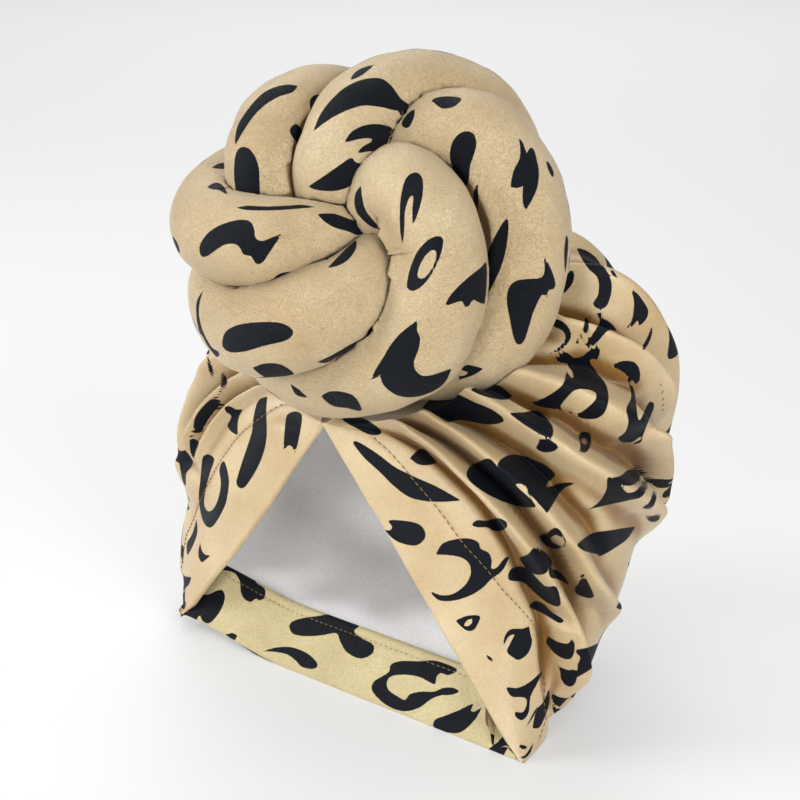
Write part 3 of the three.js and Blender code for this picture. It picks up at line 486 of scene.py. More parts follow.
SIDE_MARKS = [
    # along the right hem, from the top
    [(-103, 330), (-95, 318), (-60, 335), (0, 375), (60, 420), (140, 460), (220, 495),
     (319, 551, 1), (240, 556), (170, 552), (110, 535), (50, 490), (0, 440), (-60, 385)],
    [(33, 633), (50, 627), (110, 632), (155, 645), (177, 675), (172, 705), (140, 727), (90, 720),
     (50, 700), (16, 664, 1), (40, 668), (47, 652)],
    [(219, 763, 1), (245, 720), (300, 702), (350, 700), (385, 715), (395, 740), (425, 755),
     (438, 785), (437, 818), (460, 812), (485, 780), (509, 767, 1), (490, 810), (470, 835),
     (435, 860), (400, 895), (350, 925), (290, 943), (230, 941), (192, 903, 1), (240, 922),
     (290, 915), (335, 880), (355, 840), (350, 800), (320, 775), (270, 765)],
    [(296, 1022, 1), (340, 1003), (388, 1002), (390, 1020), (370, 1055), (345, 1062),
     (318, 1045)],
    [(485, 1118), (490, 1080), (515, 1055), (560, 1053), (584, 1043, 1), (590, 1075),
     (596, 1105), (580, 1150), (545, 1175), (520, 1165), (498, 1143), (510, 1112),
     (529, 1075, 1), (505, 1083)],
    [(498, 1283), (540, 1285), (590, 1260), (644, 1210, 1), (615, 1270), (590, 1320),
     (583, 1380), (560, 1411), (535, 1402), (529, 1380), (560, 1380), (575, 1350), (568, 1324),
     (520, 1320), (503, 1303)],
    [(662, 1288, 1), (640, 1340), (612, 1375), (598, 1442, 1), (625, 1440), (650, 1390),
     (664, 1340)],
    [(620, 1350, 1), (600, 1400), (568, 1448, 1), (595, 1395)],
    [(543, 1512), (560, 1509), (582, 1519, 1), (560, 1526)],
    [(543, 1556, 1), (570, 1548), (602, 1498, 1), (590, 1538), (565, 1562)],
    [(414, 1154, 1), (435, 1165), (444, 1184, 1), (425, 1173)],
    # the gathered side, from the knot down
    [(165, 187, 1), (200, 150), (225, 128), (300, 133), (370, 165), (440, 195), (487, 233),
     (460, 250), (410, 252), (350, 240), (300, 235), (265, 244), (215, 213)],
    [(352, 116, 1), (400, 97), (450, 95), (490, 115), (524, 146, 1), (490, 156), (440, 150),
     (390, 135)],
    [(504, 207, 1), (560, 205), (615, 200), (650, 225), (678, 265), (673, 302), (640, 297),
     (600, 275), (560, 250)],
    [(626, 290), (634, 312), (665, 312), (702, 340, 1), (680, 358), (640, 361), (611, 346),
     (622, 325)],
    [(755, 10), (815, 8), (850, 50), (885, 95), (896, 150), (881, 205), (845, 230), (790, 228),
     (750, 210), (700, 195), (640, 185), (583, 168, 1), (640, 150), (690, 120), (720, 90),
     (730, 40, 1), (748, 68), (758, 66), (752, 43), (735, 20)],
    [(911, 22), (950, 4), (995, 8), (1018, 40), (1019, 102, 1), (985, 75), (950, 45)],
    [(965, 64, 1), (987, 95), (1001, 140), (1006, 190), (1015, 238), (1035, 205), (1050, 170),
     (1065, 161), (1075, 180), (1060, 222), (1040, 272), (1027, 312), (1018, 372, 1),
     (1014, 312), (1008, 290, 1), (1000, 347, 1), (985, 320), (955, 326), (927, 305, 1),
     (960, 285), (974, 240), (965, 192), (984, 150), (980, 110)],
    [(779, 300), (790, 283), (815, 283), (827, 300), (825, 335), (810, 360), (781, 364, 1),
     (786, 335)],
    [(340, 440), (352, 418), (385, 400), (430, 387), (470, 430), (530, 490), (585, 540),
     (615, 576, 1), (570, 578), (500, 561), (430, 531), (370, 491), (343, 462)],
    [(461, 415), (480, 385), (520, 370), (570, 378), (610, 395), (650, 413), (687, 450),
     (660, 477), (654, 499), (700, 485), (740, 480), (772, 484, 1), (730, 498), (705, 520),
     (680, 562), (655, 602, 1), (620, 560), (580, 518), (577, 500), (550, 485), (525, 489, 1),
     (495, 455)],
    [(361, 647), (380, 628), (420, 630), (460, 620), (490, 630), (499, 650), (480, 668),
     (445, 669), (420, 656), (385, 656)],
    [(117, 385, 1), (150, 352), (175, 351), (200, 375), (224, 403, 1), (190, 412), (150, 409)],
    [(809, 589, 1), (855, 560), (887, 510), (893, 460), (930, 480), (977, 535), (980, 548),
     (930, 560), (870, 573)],
    [(898, 460, 1), (940, 455), (975, 425), (1006, 393, 1), (982, 432), (1000, 427),
     (1032, 398, 1), (1027, 440), (1010, 475), (985, 491), (950, 489)],
    [(963, 521, 1), (1000, 515), (1030, 480), (1052, 436, 1), (1050, 490), (1032, 530),
     (1005, 546), (985, 541)],
    [(1023, 576, 1), (1055, 560), (1075, 500), (1081, 476, 1), (1084, 540), (1066, 581),
     (1040, 586)],
    [(1033, 600, 1), (1070, 614), (1100, 598), (1096, 625), (1075, 636), (1050, 629)],
    [(769, 725, 1), (830, 680), (900, 668), (960, 658), (1001, 653, 1), (970, 701), (930, 731),
     (890, 756), (845, 777, 1), (857, 764), (800, 748)],
    [(791, 826, 1), (820, 880), (839, 926), (825, 934), (790, 926), (764, 906), (780, 870)],
    [(616, 690, 1), (650, 680), (692, 657), (727, 702), (720, 733), (690, 741), (655, 731)],
    [(548, 776), (580, 762), (607, 738), (652, 790), (656, 830), (620, 843), (585, 826),
     (562, 802)],
    [(612, 733), (650, 755), (674, 790), (671, 817), (700, 828), (720, 845), (747, 886, 1),
     (700, 860), (667, 850), (655, 800)],
    [(506, 862), (510, 823), (545, 809), (580, 820), (610, 850), (650, 888), (692, 890),
     (708, 960), (680, 963), (640, 941), (600, 906), (560, 871)],
    [(581, 969, 1), (605, 945), (640, 955), (670, 985), (720, 1019), (702, 1031), (660, 1006),
     (625, 986)],
    [(661, 1084), (690, 1102), (735, 1112), (757, 1090), (763, 1130), (750, 1169), (720, 1171),
     (680, 1146), (663, 1120), (655, 1178, 1), (651, 1112)],
    [(677, 1173, 1), (702, 1200), (740, 1216), (768, 1213), (771, 1250), (755, 1279),
     (730, 1276), (710, 1250), (704, 1215)],
    [(674, 1308), (700, 1320), (735, 1325), (769, 1308), (766, 1342), (740, 1369), (705, 1361),
     (680, 1341)],
    [(674, 1344, 1), (700, 1374), (727, 1384, 1), (700, 1398), (680, 1382)],
    [(767, 1140), (820, 1125), (870, 1100), (929, 1048, 1), (907, 1120), (862, 1176),
     (820, 1216), (779, 1240, 1), (774, 1200), (785, 1166)],
    [(927, 968), (950, 935), (985, 895), (1023, 848, 1), (1021, 900), (1001, 946), (965, 976),
     (935, 976)],
    [(967, 804, 1), (1000, 760), (1025, 710), (1034, 662, 1), (1031, 730), (1006, 781),
     (990, 800)],
]
SIDE_HOLES = [
    [(330, 1041), (340, 1022), (361, 1014, 1), (360, 1031), (345, 1043)],
    [(702, 186, 1), (730, 150), (765, 118), (810, 115), (845, 128), (845, 155), (815, 185),
     (780, 208), (740, 200)],
    [(789, 318), (797, 305), (810, 312), (808, 330), (797, 331)],
    [(667, 700), (692, 685), (720, 707), (710, 722), (685, 723)],
    [(950, 951), (975, 915), (1001, 899, 1), (986, 936), (965, 953)],
]
CROWN_MARKS = [
    [(172, 84, 1), (215, 95), (260, 125), (300, 170), (335, 230), (340, 290), (320, 355),
     (290, 375), (260, 365), (253, 345), (275, 310), (280, 260), (270, 220), (235, 190),
     (200, 140)],
    [(108, 240), (150, 190), (163, 210), (155, 250), (130, 285), (100, 312, 1)],
    [(328, 178, 1), (355, 200), (370, 237, 1), (345, 215)],
    [(393, 476, 1), (430, 440), (444, 390), (445, 330), (428, 272, 1), (470, 310), (514, 380),
     (500, 430), (470, 453), (465, 424), (440, 455)],
    [(479, 562, 1), (510, 510), (531, 448, 1), (533, 490), (515, 540), (490, 574)],
    [(158, 546, 1), (195, 490), (212, 440), (211, 403, 1), (233, 440), (225, 490), (195, 530)],
    [(198, 561, 1), (240, 510), (275, 455), (290, 432), (272, 413, 1), (310, 425), (345, 450),
     (369, 487, 1), (330, 475), (300, 500), (260, 541)],
    [(260, 402, 1), (296, 387, 1), (290, 410)],
    [(58, 630, 1), (100, 590), (125, 580), (160, 605), (200, 600), (240, 570), (287, 554, 1),
     (275, 612), (240, 611), (230, 641), (180, 636), (120, 631)],
    [(38, 592, 1), (90, 555), (120, 520), (110, 480), (60, 455), (50, 425), (100, 430),
     (140, 470), (147, 510), (120, 551), (80, 581)],
    [(565, 698, 1), (586, 760), (590, 830), (577, 900), (554, 962, 1), (573, 880), (579, 800)],
]
CROWN_HOLES = [
    [(186, 528, 1), (203, 489), (216, 483), (206, 516)],
]
FLAP_MARKS = [
    [(205, 600), (212, 570), (235, 560), (262, 575), (263, 600), (245, 650), (227, 720),
     (216, 790), (225, 830), (245, 839), (270, 815), (290, 760), (298, 700), (291, 640),
     (300, 605), (315, 595), (330, 640), (338, 700), (325, 790), (300, 850), (265, 906),
     (240, 919), (215, 896), (198, 840), (190, 760), (198, 680)],
    [(380, 715), (375, 690), (395, 620), (425, 530), (450, 450), (458, 380), (475, 310),
     (497, 284, 1), (527, 277, 1), (521, 340), (523, 470), (505, 560), (470, 640), (420, 716),
     (395, 727)],
    [(615, 400), (625, 365), (660, 350), (690, 360), (696, 390), (685, 460), (672, 520),
     (660, 557, 1), (645, 520), (625, 519), (604, 547, 1), (608, 480)],
    [(300, 143, 1), (325, 180), (328, 215), (310, 250), (288, 280), (297, 312), (270, 345),
     (230, 400), (195, 467), (170, 455), (165, 410), (180, 365), (225, 310), (275, 270),
     (295, 230), (300, 185)],
    [(317, 330), (340, 321), (370, 340), (408, 339, 1), (390, 370), (381, 410), (381, 467, 1),
     (350, 450), (331, 420), (345, 390), (348, 367), (325, 356)],
    [(144, 448, 1), (165, 480), (190, 500), (178, 540), (165, 582, 1), (148, 540)],
    [(234, 42, 1), (240, 90), (262, 150), (263, 205, 1), (234, 130)],
    [(179, 876, 1), (183, 940), (165, 1000), (135, 1057, 1), (131, 1000), (160, 945)],
    [(197, 990, 1), (205, 1030), (222, 1052), (250, 1055, 1), (225, 1075), (205, 1089),
     (190, 1065), (189, 1030)],
    [(103, 1103, 1), (110, 1150), (154, 1163, 1), (140, 1200), (120, 1214), (92, 1204),
     (82, 1170), (92, 1140)],
    [(850, 350, 1), (900, 372), (975, 375), (1020, 395), (1070, 430), (1086, 452), (1065, 466),
     (1020, 461), (960, 431), (900, 396)],
    [(746, 474, 1), (780, 420), (834, 364, 1), (804, 395), (768, 436)],
]
BAND_MARKS = [
    [(130, 190), (145, 165), (158, 140), (230, 160), (290, 185), (352, 225), (345, 250),
     (380, 275), (381, 310), (360, 323), (345, 316), (325, 329), (300, 318), (285, 290),
     (280, 245), (255, 211), (200, 201), (160, 209), (140, 206)],
    [(58, 290), (100, 295), (150, 300), (185, 285), (210, 283), (221, 310), (210, 350),
     (185, 390), (155, 416), (130, 405), (120, 383), (105, 400), (80, 404), (45, 395),
     (45, 340)],
    [(376, 527, 1), (430, 512), (490, 512), (550, 535), (588, 570), (591, 590), (570, 599),
     (530, 590), (505, 565), (470, 540), (420, 530)],
    [(480, 432), (490, 410), (530, 395), (600, 385), (660, 378), (720, 396), (759, 424),
     (740, 447), (770, 475), (810, 495), (821, 515), (810, 540), (775, 556), (740, 550),
     (705, 525), (685, 490), (668, 455), (620, 462), (560, 467), (500, 460)],
    [(880, 610), (890, 580), (930, 567), (1000, 568), (1070, 566), (1153, 600), (1120, 623),
     (1090, 615), (1072, 630), (1065, 659), (1040, 650), (1000, 630), (940, 622), (890, 628),
     (872, 652), (880, 685), (920, 712), (945, 723), (965, 700), (1010, 690), (1060, 690),
     (1100, 675), (1140, 675), (1161, 690), (1130, 703), (1090, 705), (1050, 720), (1000, 755),
     (940, 769), (880, 750), (835, 715), (811, 680), (820, 650), (850, 630)],
    [(1057, 820), (1070, 800), (1110, 785), (1160, 765), (1200, 745), (1222, 737, 1),
     (1210, 765), (1225, 770), (1254, 751, 1), (1235, 790), (1200, 830), (1160, 856),
     (1110, 853), (1070, 841)],
    [(1247, 705), (1255, 685), (1300, 675), (1362, 690), (1367, 712), (1320, 725), (1290, 736),
     (1260, 728)],
    [(1278, 926), (1320, 890), (1350, 855), (1400, 822), (1405, 870), (1360, 915), (1330, 960),
     (1300, 950)],
    [(223, 460, 1), (250, 454), (269, 465), (262, 482), (240, 473)],
    [(648, 651, 1), (663, 655), (668, 668), (652, 662)],
]


def outline(points):
    """Closed smooth curve through the charted points: cubic pieces whose slope at a point is
    half the way between its neighbours, and none at a tip."""
    places = np.array([point[:2] for point in points], float)
    round_here = np.array([[len(point) < 3] for point in points], float)
    slopes = (np.roll(places, -1, 0) - np.roll(places, 1, 0)) / 2 * round_here
    s = (np.arange(6) / 6)[:, None, None]
    start = (2 * s ** 3 - 3 * s ** 2 + 1) * places + (s ** 3 - 2 * s ** 2 + s) * slopes
    end = (3 * s ** 2 - 2 * s ** 3) * np.roll(places, -1, 0)
    end = end + (s ** 3 - s ** 2) * np.roll(slopes, -1, 0)
    return np.moveaxis(start + end, 0, 1).reshape(-1, 2)


def off_chart(chart, points):
    """Outline in photograph pixels of points on a chart."""
    across, down, scale = chart
    return outline(points) / scale + np.array([across, down])


def distance_to_outline(places, corners):
    """Distance from each place to a closed outline, negative inside it: the least distance to
    a side, signed by how often a line to the right crosses the outline."""
    ends = np.roll(corners, -1, 0)
    sides = ends - corners
    away = places[:, None] - corners
    along = np.clip((away * sides).sum(-1) / np.maximum((sides ** 2).sum(-1), 1e-9), 0, 1)
    nearest = np.sqrt(((away - along[..., None] * sides) ** 2).sum(-1)).min(1)
    above = corners[:, 1] > places[:, 1:]
    crosses = above != (ends[:, 1] > places[:, 1:])
    rise = np.where(np.abs(sides[:, 1]) > 1e-9, sides[:, 1], 1e-9)
    meets = corners[:, 0] + (places[:, 1:] - corners[:, 1]) * sides[:, 0] / rise
    inside = (crosses & (places[:, :1] < meets)).sum(1) % 2 == 1
    return np.where(inside, -nearest, nearest)


FAR_FROM_INK = 3.0


def lay_mark(ink, places, corners, scale, hole=False):
    """Adds one blotch to the ink, the distance in millimetres outside the nearest blotch; a
    hole takes ink away instead. Only places within reach of the outline are worked out."""
    reach = FAR_FROM_INK / scale
    near = ((places > corners.min(0) - reach) & (places < corners.max(0) + reach)).all(-1)
    distance = distance_to_outline(places[near], corners) * scale
    ink[near] = np.maximum(ink[near], -distance) if hole else np.minimum(ink[near], distance)


def charted_ink(points, charts):
    """Ink on the points where the photograph shows them. charts holds (chart, marks, holes)."""
    places = to_photo(points)
    ink = np.full(points.shape[:-1], FAR_FROM_INK)
    for chart, marks, holes in charts:
        for mark in marks:
            lay_mark(ink, places, off_chart(chart, mark), PIXEL_MM)
        for mark in holes:
            lay_mark(ink, places, off_chart(chart, mark), PIXEL_MM, hole=True)
    return ink


# Blotches repeated where the photograph doesn't show the cloth: charted ones, centred, in
# millimetres
MOTIFS = [
    (outline(points) - outline(points).mean(0)) * PIXEL_MM / scale
    for points, scale in [
        (KNOT_MARKS["left"][0], KNOT_CHART[2]),
        (KNOT_MARKS["lower_left"][0], KNOT_CHART[2]),
        (KNOT_MARKS["right"][4], KNOT_CHART[2]),
        (KNOT_MARKS["right"][7], KNOT_CHART[2]),
        (KNOT_MARKS["front"][4], KNOT_CHART[2]),
        (KNOT_MARKS["lower_left"][1], KNOT_CHART[2]),
        (KNOT_MARKS["right"][6], KNOT_CHART[2]),
        (SIDE_MARKS[2], SIDE_CHART[2]),
        (SIDE_MARKS[4], SIDE_CHART[2]),
        (SIDE_MARKS[28], SIDE_CHART[2]),
        (FLAP_MARKS[0], FLAP_CHART[2]),
        (BAND_MARKS[4], BAND_CHART[2]),
    ]
]
MOTIF_SPACING = 27.0
MOTIF_SHIFT = 0.22
MOTIF_SIZES = (0.75, 1.0)


def scattered_ink(along, around, seed):
    """Ink of motifs laid out on a jittered lattice over a grid's own lengths, each turned its
    own seeded way. along and around are (rows, columns) lengths in millimetres."""
    random = np.random.default_rng(seed)
    ink = np.full(along.shape, FAR_FROM_INK)
    middle_row = along.shape[0] // 2
    rows = max(int(along.max() / MOTIF_SPACING), 1)
    columns = max(int(around[middle_row].max() / MOTIF_SPACING), 1)
    for row in range(rows):
        for column in range(columns):
            shift = random.uniform(-MOTIF_SHIFT, MOTIF_SHIFT, 2)
            share = (row + 0.5 + shift[0]) / rows
            place = (column + 0.5 * (row % 2) + 0.25 + shift[1]) / columns
            j = int(np.searchsorted(around[middle_row], place % 1 * around[middle_row, -1]))
            i = int(np.searchsorted(along[:, j], share * along[-1, j]))
            turn = random.uniform(0, 2 * math.pi)
            wheel = np.array([
                [math.cos(turn), math.sin(turn)],
                [-math.sin(turn), math.cos(turn)],
            ])
            motif = MOTIFS[random.integers(len(MOTIFS))]
            corners = motif @ wheel * random.uniform(*MOTIF_SIZES)
            sideways = around - around[:, j:j + 1]
            whole = around[:, -1:]
            sideways = np.where(sideways > whole / 2, sideways - whole, sideways)
            sideways = np.where(sideways < -whole / 2, sideways + whole, sideways)
            places = np.stack([sideways, along - along[i:i + 1]], -1)
            lay_mark(ink, places, corners, 1.0)
    return ink


def lengths_along(grid, axis):
    """Running length of the grid's lines along an axis."""
    steps = np.linalg.norm(np.diff(grid, axis=axis), axis=-1)
    start = np.zeros_like(np.take(steps, [0], axis))
    return np.concatenate([start, np.cumsum(steps, axis)], axis)


def printed(points, normals, charts, seed, edge_on):
    """Ink of a whole piece: the chart where it faces the camera, and scattered motifs elsewhere,
    changing over on the faces seen edge on, between the two given cosines."""
    facing = (normals * unit(EYE - points)).sum(-1)
    share = smooth_rise(facing, *edge_on)
    hidden = scattered_ink(lengths_along(points, 0), lengths_along(points, 1), seed)
    return share * charted_ink(points, charts) + (1 - share) * hidden


# Materials

def linear(code):
    """Linear RGBA of an sRGB hex colour."""
    values = np.array([int(code[i:i + 2], 16) for i in (1, 3, 5)]) / 255
    low = values / 12.92
    high = ((values + 0.055) / 1.055) ** 2.4
    return (*np.where(values <= 0.04045, low, high).tolist(), 1.0)


def node(tree, kind, links=(), settings=(), values=()):
    """Adds a node. links are (its socket, another node, that node's socket), settings are
    (property, value) and values are (socket, value)."""
    made = tree.nodes.new(kind)
    for name, value in settings:
        setattr(made, name, value)
    for name, value in values:
        made.inputs[name].default_value = value
    for name, other, output in links:
        tree.links.new(other.outputs[output], made.inputs[name])
    return made


def blank_material(name):
    """Empty node material and its tree."""
    material = bpy.data.materials.new(name)
    material.use_nodes = True
    material.node_tree.nodes.clear()
    return material, material.node_tree


# Sockets of a mix node that mixes colours
MIX_A = 6
MIX_B = 7
MIX_RESULT = 2
# Clouds of tone about 36 mm across, broader than any weave: the dye takes unevenly
CLOUD_SCALE = 28.0
# The grain is this many times finer than the crinkle
GRAIN_SHARE = 3.2
# How far the fibres push a blotch's edge to and fro, and where its ink is full and gone, in mm
INK_WANDER = 0.30
INK_FULL = -0.10
INK_GONE = 0.14


def cloth_material(name, light, deep, crinkle, crinkle_depth, grain_depth, cloth,
                   crease_shade_tone=None, ink=None):
    """Woven cloth: two tones in soft clouds, with a crinkle and a fine grain as bump. crinkle
    counts waves to the metre and the depths are metres. With crease_shade_tone, a deeper tone of
    painted shade, the piece's painted_shade attribute, 1 in a crease, brings it in. With ink, the
    piece's ink attribute, 0 at a blotch's edge, mixes in the dark print."""
    material, tree = blank_material(name)
    place = node(tree, "ShaderNodeTexCoord")
    clouds = node(
        tree, "ShaderNodeTexNoise",
        links=[("Vector", place, "Object")],
        values=[("Scale", CLOUD_SCALE), ("Detail", 3.0), ("Roughness", 0.55)],
    )
    fibres = node(
        tree, "ShaderNodeTexNoise",
        links=[("Vector", place, "Object")],
        values=[("Scale", crinkle), ("Detail", 2.0), ("Roughness", 0.6), ("Distortion", 1.8)],
    )
    grain = node(
        tree, "ShaderNodeTexNoise",
        links=[("Vector", place, "Object")],
        values=[("Scale", GRAIN_SHARE * crinkle), ("Detail", 1.0), ("Roughness", 0.5)],
    )
    cloud_share = node(
        tree, "ShaderNodeMapRange",
        links=[("Value", clouds, "Fac")],
        values=[("From Min", 0.3), ("From Max", 0.7)],
    )
    fibre_share = node(
        tree, "ShaderNodeMapRange",
        links=[("Value", fibres, "Fac")],
        values=[("From Min", 0.35), ("From Max", 0.65), ("To Min", 0.87), ("To Max", 1.08)],
    )
    ground = node(
        tree, "ShaderNodeMix",
        links=[("Factor", cloud_share, "Result")],
        settings=[("data_type", "RGBA")],
        values=[(MIX_A, linear(deep)), (MIX_B, linear(light))],
    )
    # Painted shade: the crease tone, mixed in by the painted_shade attribute
    if crease_shade_tone is not None:
        painted_shade = node(tree, "ShaderNodeAttribute", settings=[("attribute_name", "painted_shade")])
        ground = node(
            tree, "ShaderNodeMix",
            links=[("Factor", painted_shade, "Fac"), (MIX_A, ground, MIX_RESULT)],
            settings=[("data_type", "RGBA")],
            values=[(MIX_B, linear(crease_shade_tone))],
        )
    toned = node(
        tree, "ShaderNodeVectorMath",
        links=[(0, ground, MIX_RESULT), (3, fibre_share, "Result")],
        settings=[("operation", "SCALE")],
    )
    soft_bump = node(
        tree, "ShaderNodeBump",
        links=[("Height", fibres, "Fac")],
        values=[("Strength", 1.0), ("Distance", crinkle_depth)],
    )
    bump = node(
        tree, "ShaderNodeBump",
        links=[("Height", grain, "Fac"), ("Normal", soft_bump, "Normal")],
        values=[("Strength", 1.0), ("Distance", grain_depth)],
    )
    shader = node(
        tree, "ShaderNodeBsdfPrincipled",
        links=[("Base Color", toned, "Vector"), ("Normal", bump, "Normal")],
        values=cloth,
    )
    if ink is None:
        node(tree, "ShaderNodeOutputMaterial", links=[("Surface", shader, "BSDF")])
        return material
    distance = node(tree, "ShaderNodeAttribute", settings=[("attribute_name", "ink")])
    wander = node(
        tree, "ShaderNodeMath",
        links=[(0, fibres, "Fac")],
        settings=[("operation", "MULTIPLY_ADD")],
        values=[(1, INK_WANDER), (2, -INK_WANDER / 2)],
    )
    edge = node(
        tree, "ShaderNodeMath",
        links=[(0, distance, "Fac"), (1, wander, "Value")],
        settings=[("operation", "ADD")],
    )
    ink_share = node(
        tree, "ShaderNodeMapRange",
        links=[("Value", edge, "Value")],
        settings=[("interpolation_type", "SMOOTHSTEP")],
        values=[("From Min", INK_FULL), ("From Max", INK_GONE), ("To Min", 1.0), ("To Max", 0.0)],
    )
    ink_shader = node(
        tree, "ShaderNodeBsdfPrincipled",
        links=[("Normal", bump, "Normal")],
        values=ink,
    )
    printed_shader = node(
        tree, "ShaderNodeMixShader",
        links=[("Fac", ink_share, "Result"), (1, shader, "BSDF"), (2, ink_shader, "BSDF")],
    )
    node(tree, "ShaderNodeOutputMaterial", links=[("Surface", printed_shader, "Shader")])
    return material


PALE_SHEEN = linear("#FFF8EA")
# Painted shade: the warm brown mixed into the cloth in creases and in the seams between rolls,
# standing in for cloth at the bottom of a crease that is lit only by the cloth around it
PAINTED_CREASE_SHADE = "#85602F"
# Dispersed navy dye: it lies in the fibres, so it is matt and hardly catches the light
INK = [("Base Color", linear("#070C14")), ("Roughness", 0.55), ("Specular IOR Level", 0.12),
       ("Sheen Weight", 0.02)]

# Polyester satin, woven with long floats and printed: a silky face with pale broad highlights
# along its folds, over a fine close grain
SATIN = cloth_material(
    "printed polyester satin", "#C6B28C", "#B69C72", 1100.0, 0.00016, 0.00005,
    [("Roughness", 0.33), ("Specular IOR Level", 0.60), ("Sheen Weight", 0.28),
     ("Sheen Roughness", 0.30), ("Sheen Tint", PALE_SHEEN)],
    PAINTED_CREASE_SHADE, INK,
)
# The same cloth brushed and steamed over padding: matter, with a fine crinkle of short bent
# fibres
CREPE = cloth_material(
    "printed crepe-back satin", "#C5B18B", "#B49A70", 850.0, 0.00085, 0.00012,
    [("Roughness", 0.38), ("Specular IOR Level", 0.55), ("Sheen Weight", 0.30),
     ("Sheen Roughness", 0.32), ("Sheen Tint", PALE_SHEEN)],
    PAINTED_CREASE_SHADE, INK,
)
# The wrong side of the printed cloth: matt and khaki, its nap all one way
KHAKI = cloth_material(
    "wrong side of printed satin", "#CBBD92", "#B9AA7E", 800.0, 0.00065, 0.00010,
    [("Roughness", 0.62), ("Specular IOR Level", 0.25), ("Sheen Weight", 0.15),
     ("Sheen Roughness", 0.40), ("Sheen Tint", PALE_SHEEN)],
    ink=INK,
)
# White satin lining: cool, soft and smooth, with almost no texture of its own
LINING = cloth_material(
    "white lining satin", "#FBFAFA", "#F5F4F5", 1300.0, 0.00005, 0.00002,
    [("Roughness", 0.50), ("Sheen Weight", 0.15), ("Sheen Roughness", 0.35)],
)
# Spun polyester sewing thread, golden brown: matt with a soft sheen
THREAD = cloth_material(
    "golden brown sewing thread", "#8E7243", "#6B5330", 4000.0, 0.00004, 0.00002,
    [("Roughness", 0.6), ("Sheen Weight", 0.1)],
)

# Knot

# Rings along a roll, points round it, and places along its route when rolls are compared
RINGS = 279
SIDES = 96
ROUTE_SAMPLES = 140
CURVE_STEPS = 3000
# Most of a bend's own radius that a roll's radius may take on its inner side
BEND_SHARE = 0.92
PRESS_STEP = 1.0
PRESS_HALVINGS = 8
ROLL_GAP = 0.15
CONTACT_SOFTNESS = 1.1
TIP_RADIUS = 0.3
# How far the padding bulges towards the knot's middle, over cosines of the way there
MIDDLE_SQUEEZE = 0.5
MIDDLEWARDS = (0.1, 0.8)
# Creases across the inner side of bends, over shares of the bend's tightness
CREASE_TIGHTNESS = (0.30, 0.80)
CREASE_SPACING = 5.4
CREASE_DEPTH = 1.7
CREASE_WAVER = 1.3
SWELL_SPACING = 3.7 * CREASE_SPACING
# How much of the painted shade a full crease brings
CREASE_SHADE_SHARE = 0.5
# Pressed in by this much, a roll's cloth is fully in the painted shade of its seam
PRESSED_DARK = 2.6
# Columns: size and height in millimetres
PADDING_LUMPS = [(38.0, 0.60), (13.0, 0.22)]
# Cosines between which the print goes over from scattered motifs to the chart
KNOT_EDGE_ON = (0.08, 0.20)
KNOT_SEED = 100


def roll_route(rows, count):
    """Centripetal Catmull-Rom curve through a roll's points, sampled at equal steps, and its
    radius there."""
    table = np.array(rows)
    controls = (KNOT_CENTRE + KNOT_RADIUS * (
        table[:, :1] * KNOT_ASIDE + table[:, 1:2] * KNOT_UP + table[:, 2:3] * KNOT_OUT))
    wide = np.concatenate([2 * controls[:1] - controls[1:2], controls,
                           2 * controls[-1:] - controls[-2:-1]])
    pieces = len(controls) - 1
    along = np.linspace(0, 1, CURVE_STEPS)
    i = np.minimum((along * pieces).astype(int), pieces - 1)
    s = (along * pieces - i)[:, None]
    p0, p1, p2, p3 = wide[i], wide[i + 1], wide[i + 2], wide[i + 3]
    gap0, gap1, gap2 = [
        np.sqrt(np.linalg.norm(b - a, axis=1, keepdims=True))
        for a, b in ((p0, p1), (p1, p2), (p2, p3))
    ]
    leave = ((p1 - p0) / gap0 - (p2 - p0) / (gap0 + gap1) + (p2 - p1) / gap1) * gap1
    arrive = ((p2 - p1) / gap1 - (p3 - p1) / (gap1 + gap2) + (p3 - p2) / gap2) * gap1
    curve = ((2 * s ** 3 - 3 * s ** 2 + 1) * p1 + (s ** 3 - 2 * s ** 2 + s) * leave
             + (3 * s ** 2 - 2 * s ** 3) * p2 + (s ** 3 - s ** 2) * arrive)
    run = lengths_along(curve, 0)
    even = np.interp(np.linspace(0, run[-1], count), run, along)
    centres = np.stack([np.interp(even, along, curve[:, axis]) for axis in range(3)], -1)
    girth = steady_curve(np.linspace(0, 1, len(rows)), table[:, 3])
    return centres, girth(even) * ROLL_RADIUS


ROUTES = {name: roll_route(rows, ROUTE_SAMPLES) for name, rows in ROLLS.items()}


def radii_away(points, centres, radii):
    """Distance from each point to the nearest place of a route, in radii of the roll there."""
    squares = ((points ** 2).sum(-1)[:, None] + (centres ** 2).sum(-1) - 2 * points @ centres.T)
    return np.sqrt((np.maximum(squares, 0) / radii ** 2).min(1))


def pressed_radii(name, base, ways, free):
    """How far each way can go out from the roll's own route before it is nearer, in radii, to
    another roll's: whole steps first, then the last step is halved again and again."""
    own = ROUTES[name]
    others = [route for other, route in ROUTES.items() if other != name]
    other_centres = np.concatenate([route[0] for route in others])
    other_radii = np.concatenate([route[1] for route in others])

    def clear(which, reach):
        points = base[which] + ways[which] * reach[:, None]
        return radii_away(points, *own) <= radii_away(points, other_centres, other_radii)

    reached = np.zeros(len(free))
    going = np.arange(len(free))
    while len(going):
        trial = np.minimum(reached[going] + PRESS_STEP, free[going])
        passed = clear(going, trial)
        reached[going[passed]] = trial[passed]
        going = going[passed & (trial < free[going])]
    stopped = np.flatnonzero(reached < free)
    low = reached[stopped]
    high = np.minimum(low + PRESS_STEP, free[stopped])
    for _ in range(PRESS_HALVINGS):
        middle = (low + high) / 2
        passed = clear(stopped, middle)
        low = np.where(passed, middle, low)
        high = np.where(passed, high, middle)
    limits = free + 4 * CONTACT_SOFTNESS
    limits[stopped] = low - ROLL_GAP
    return limits


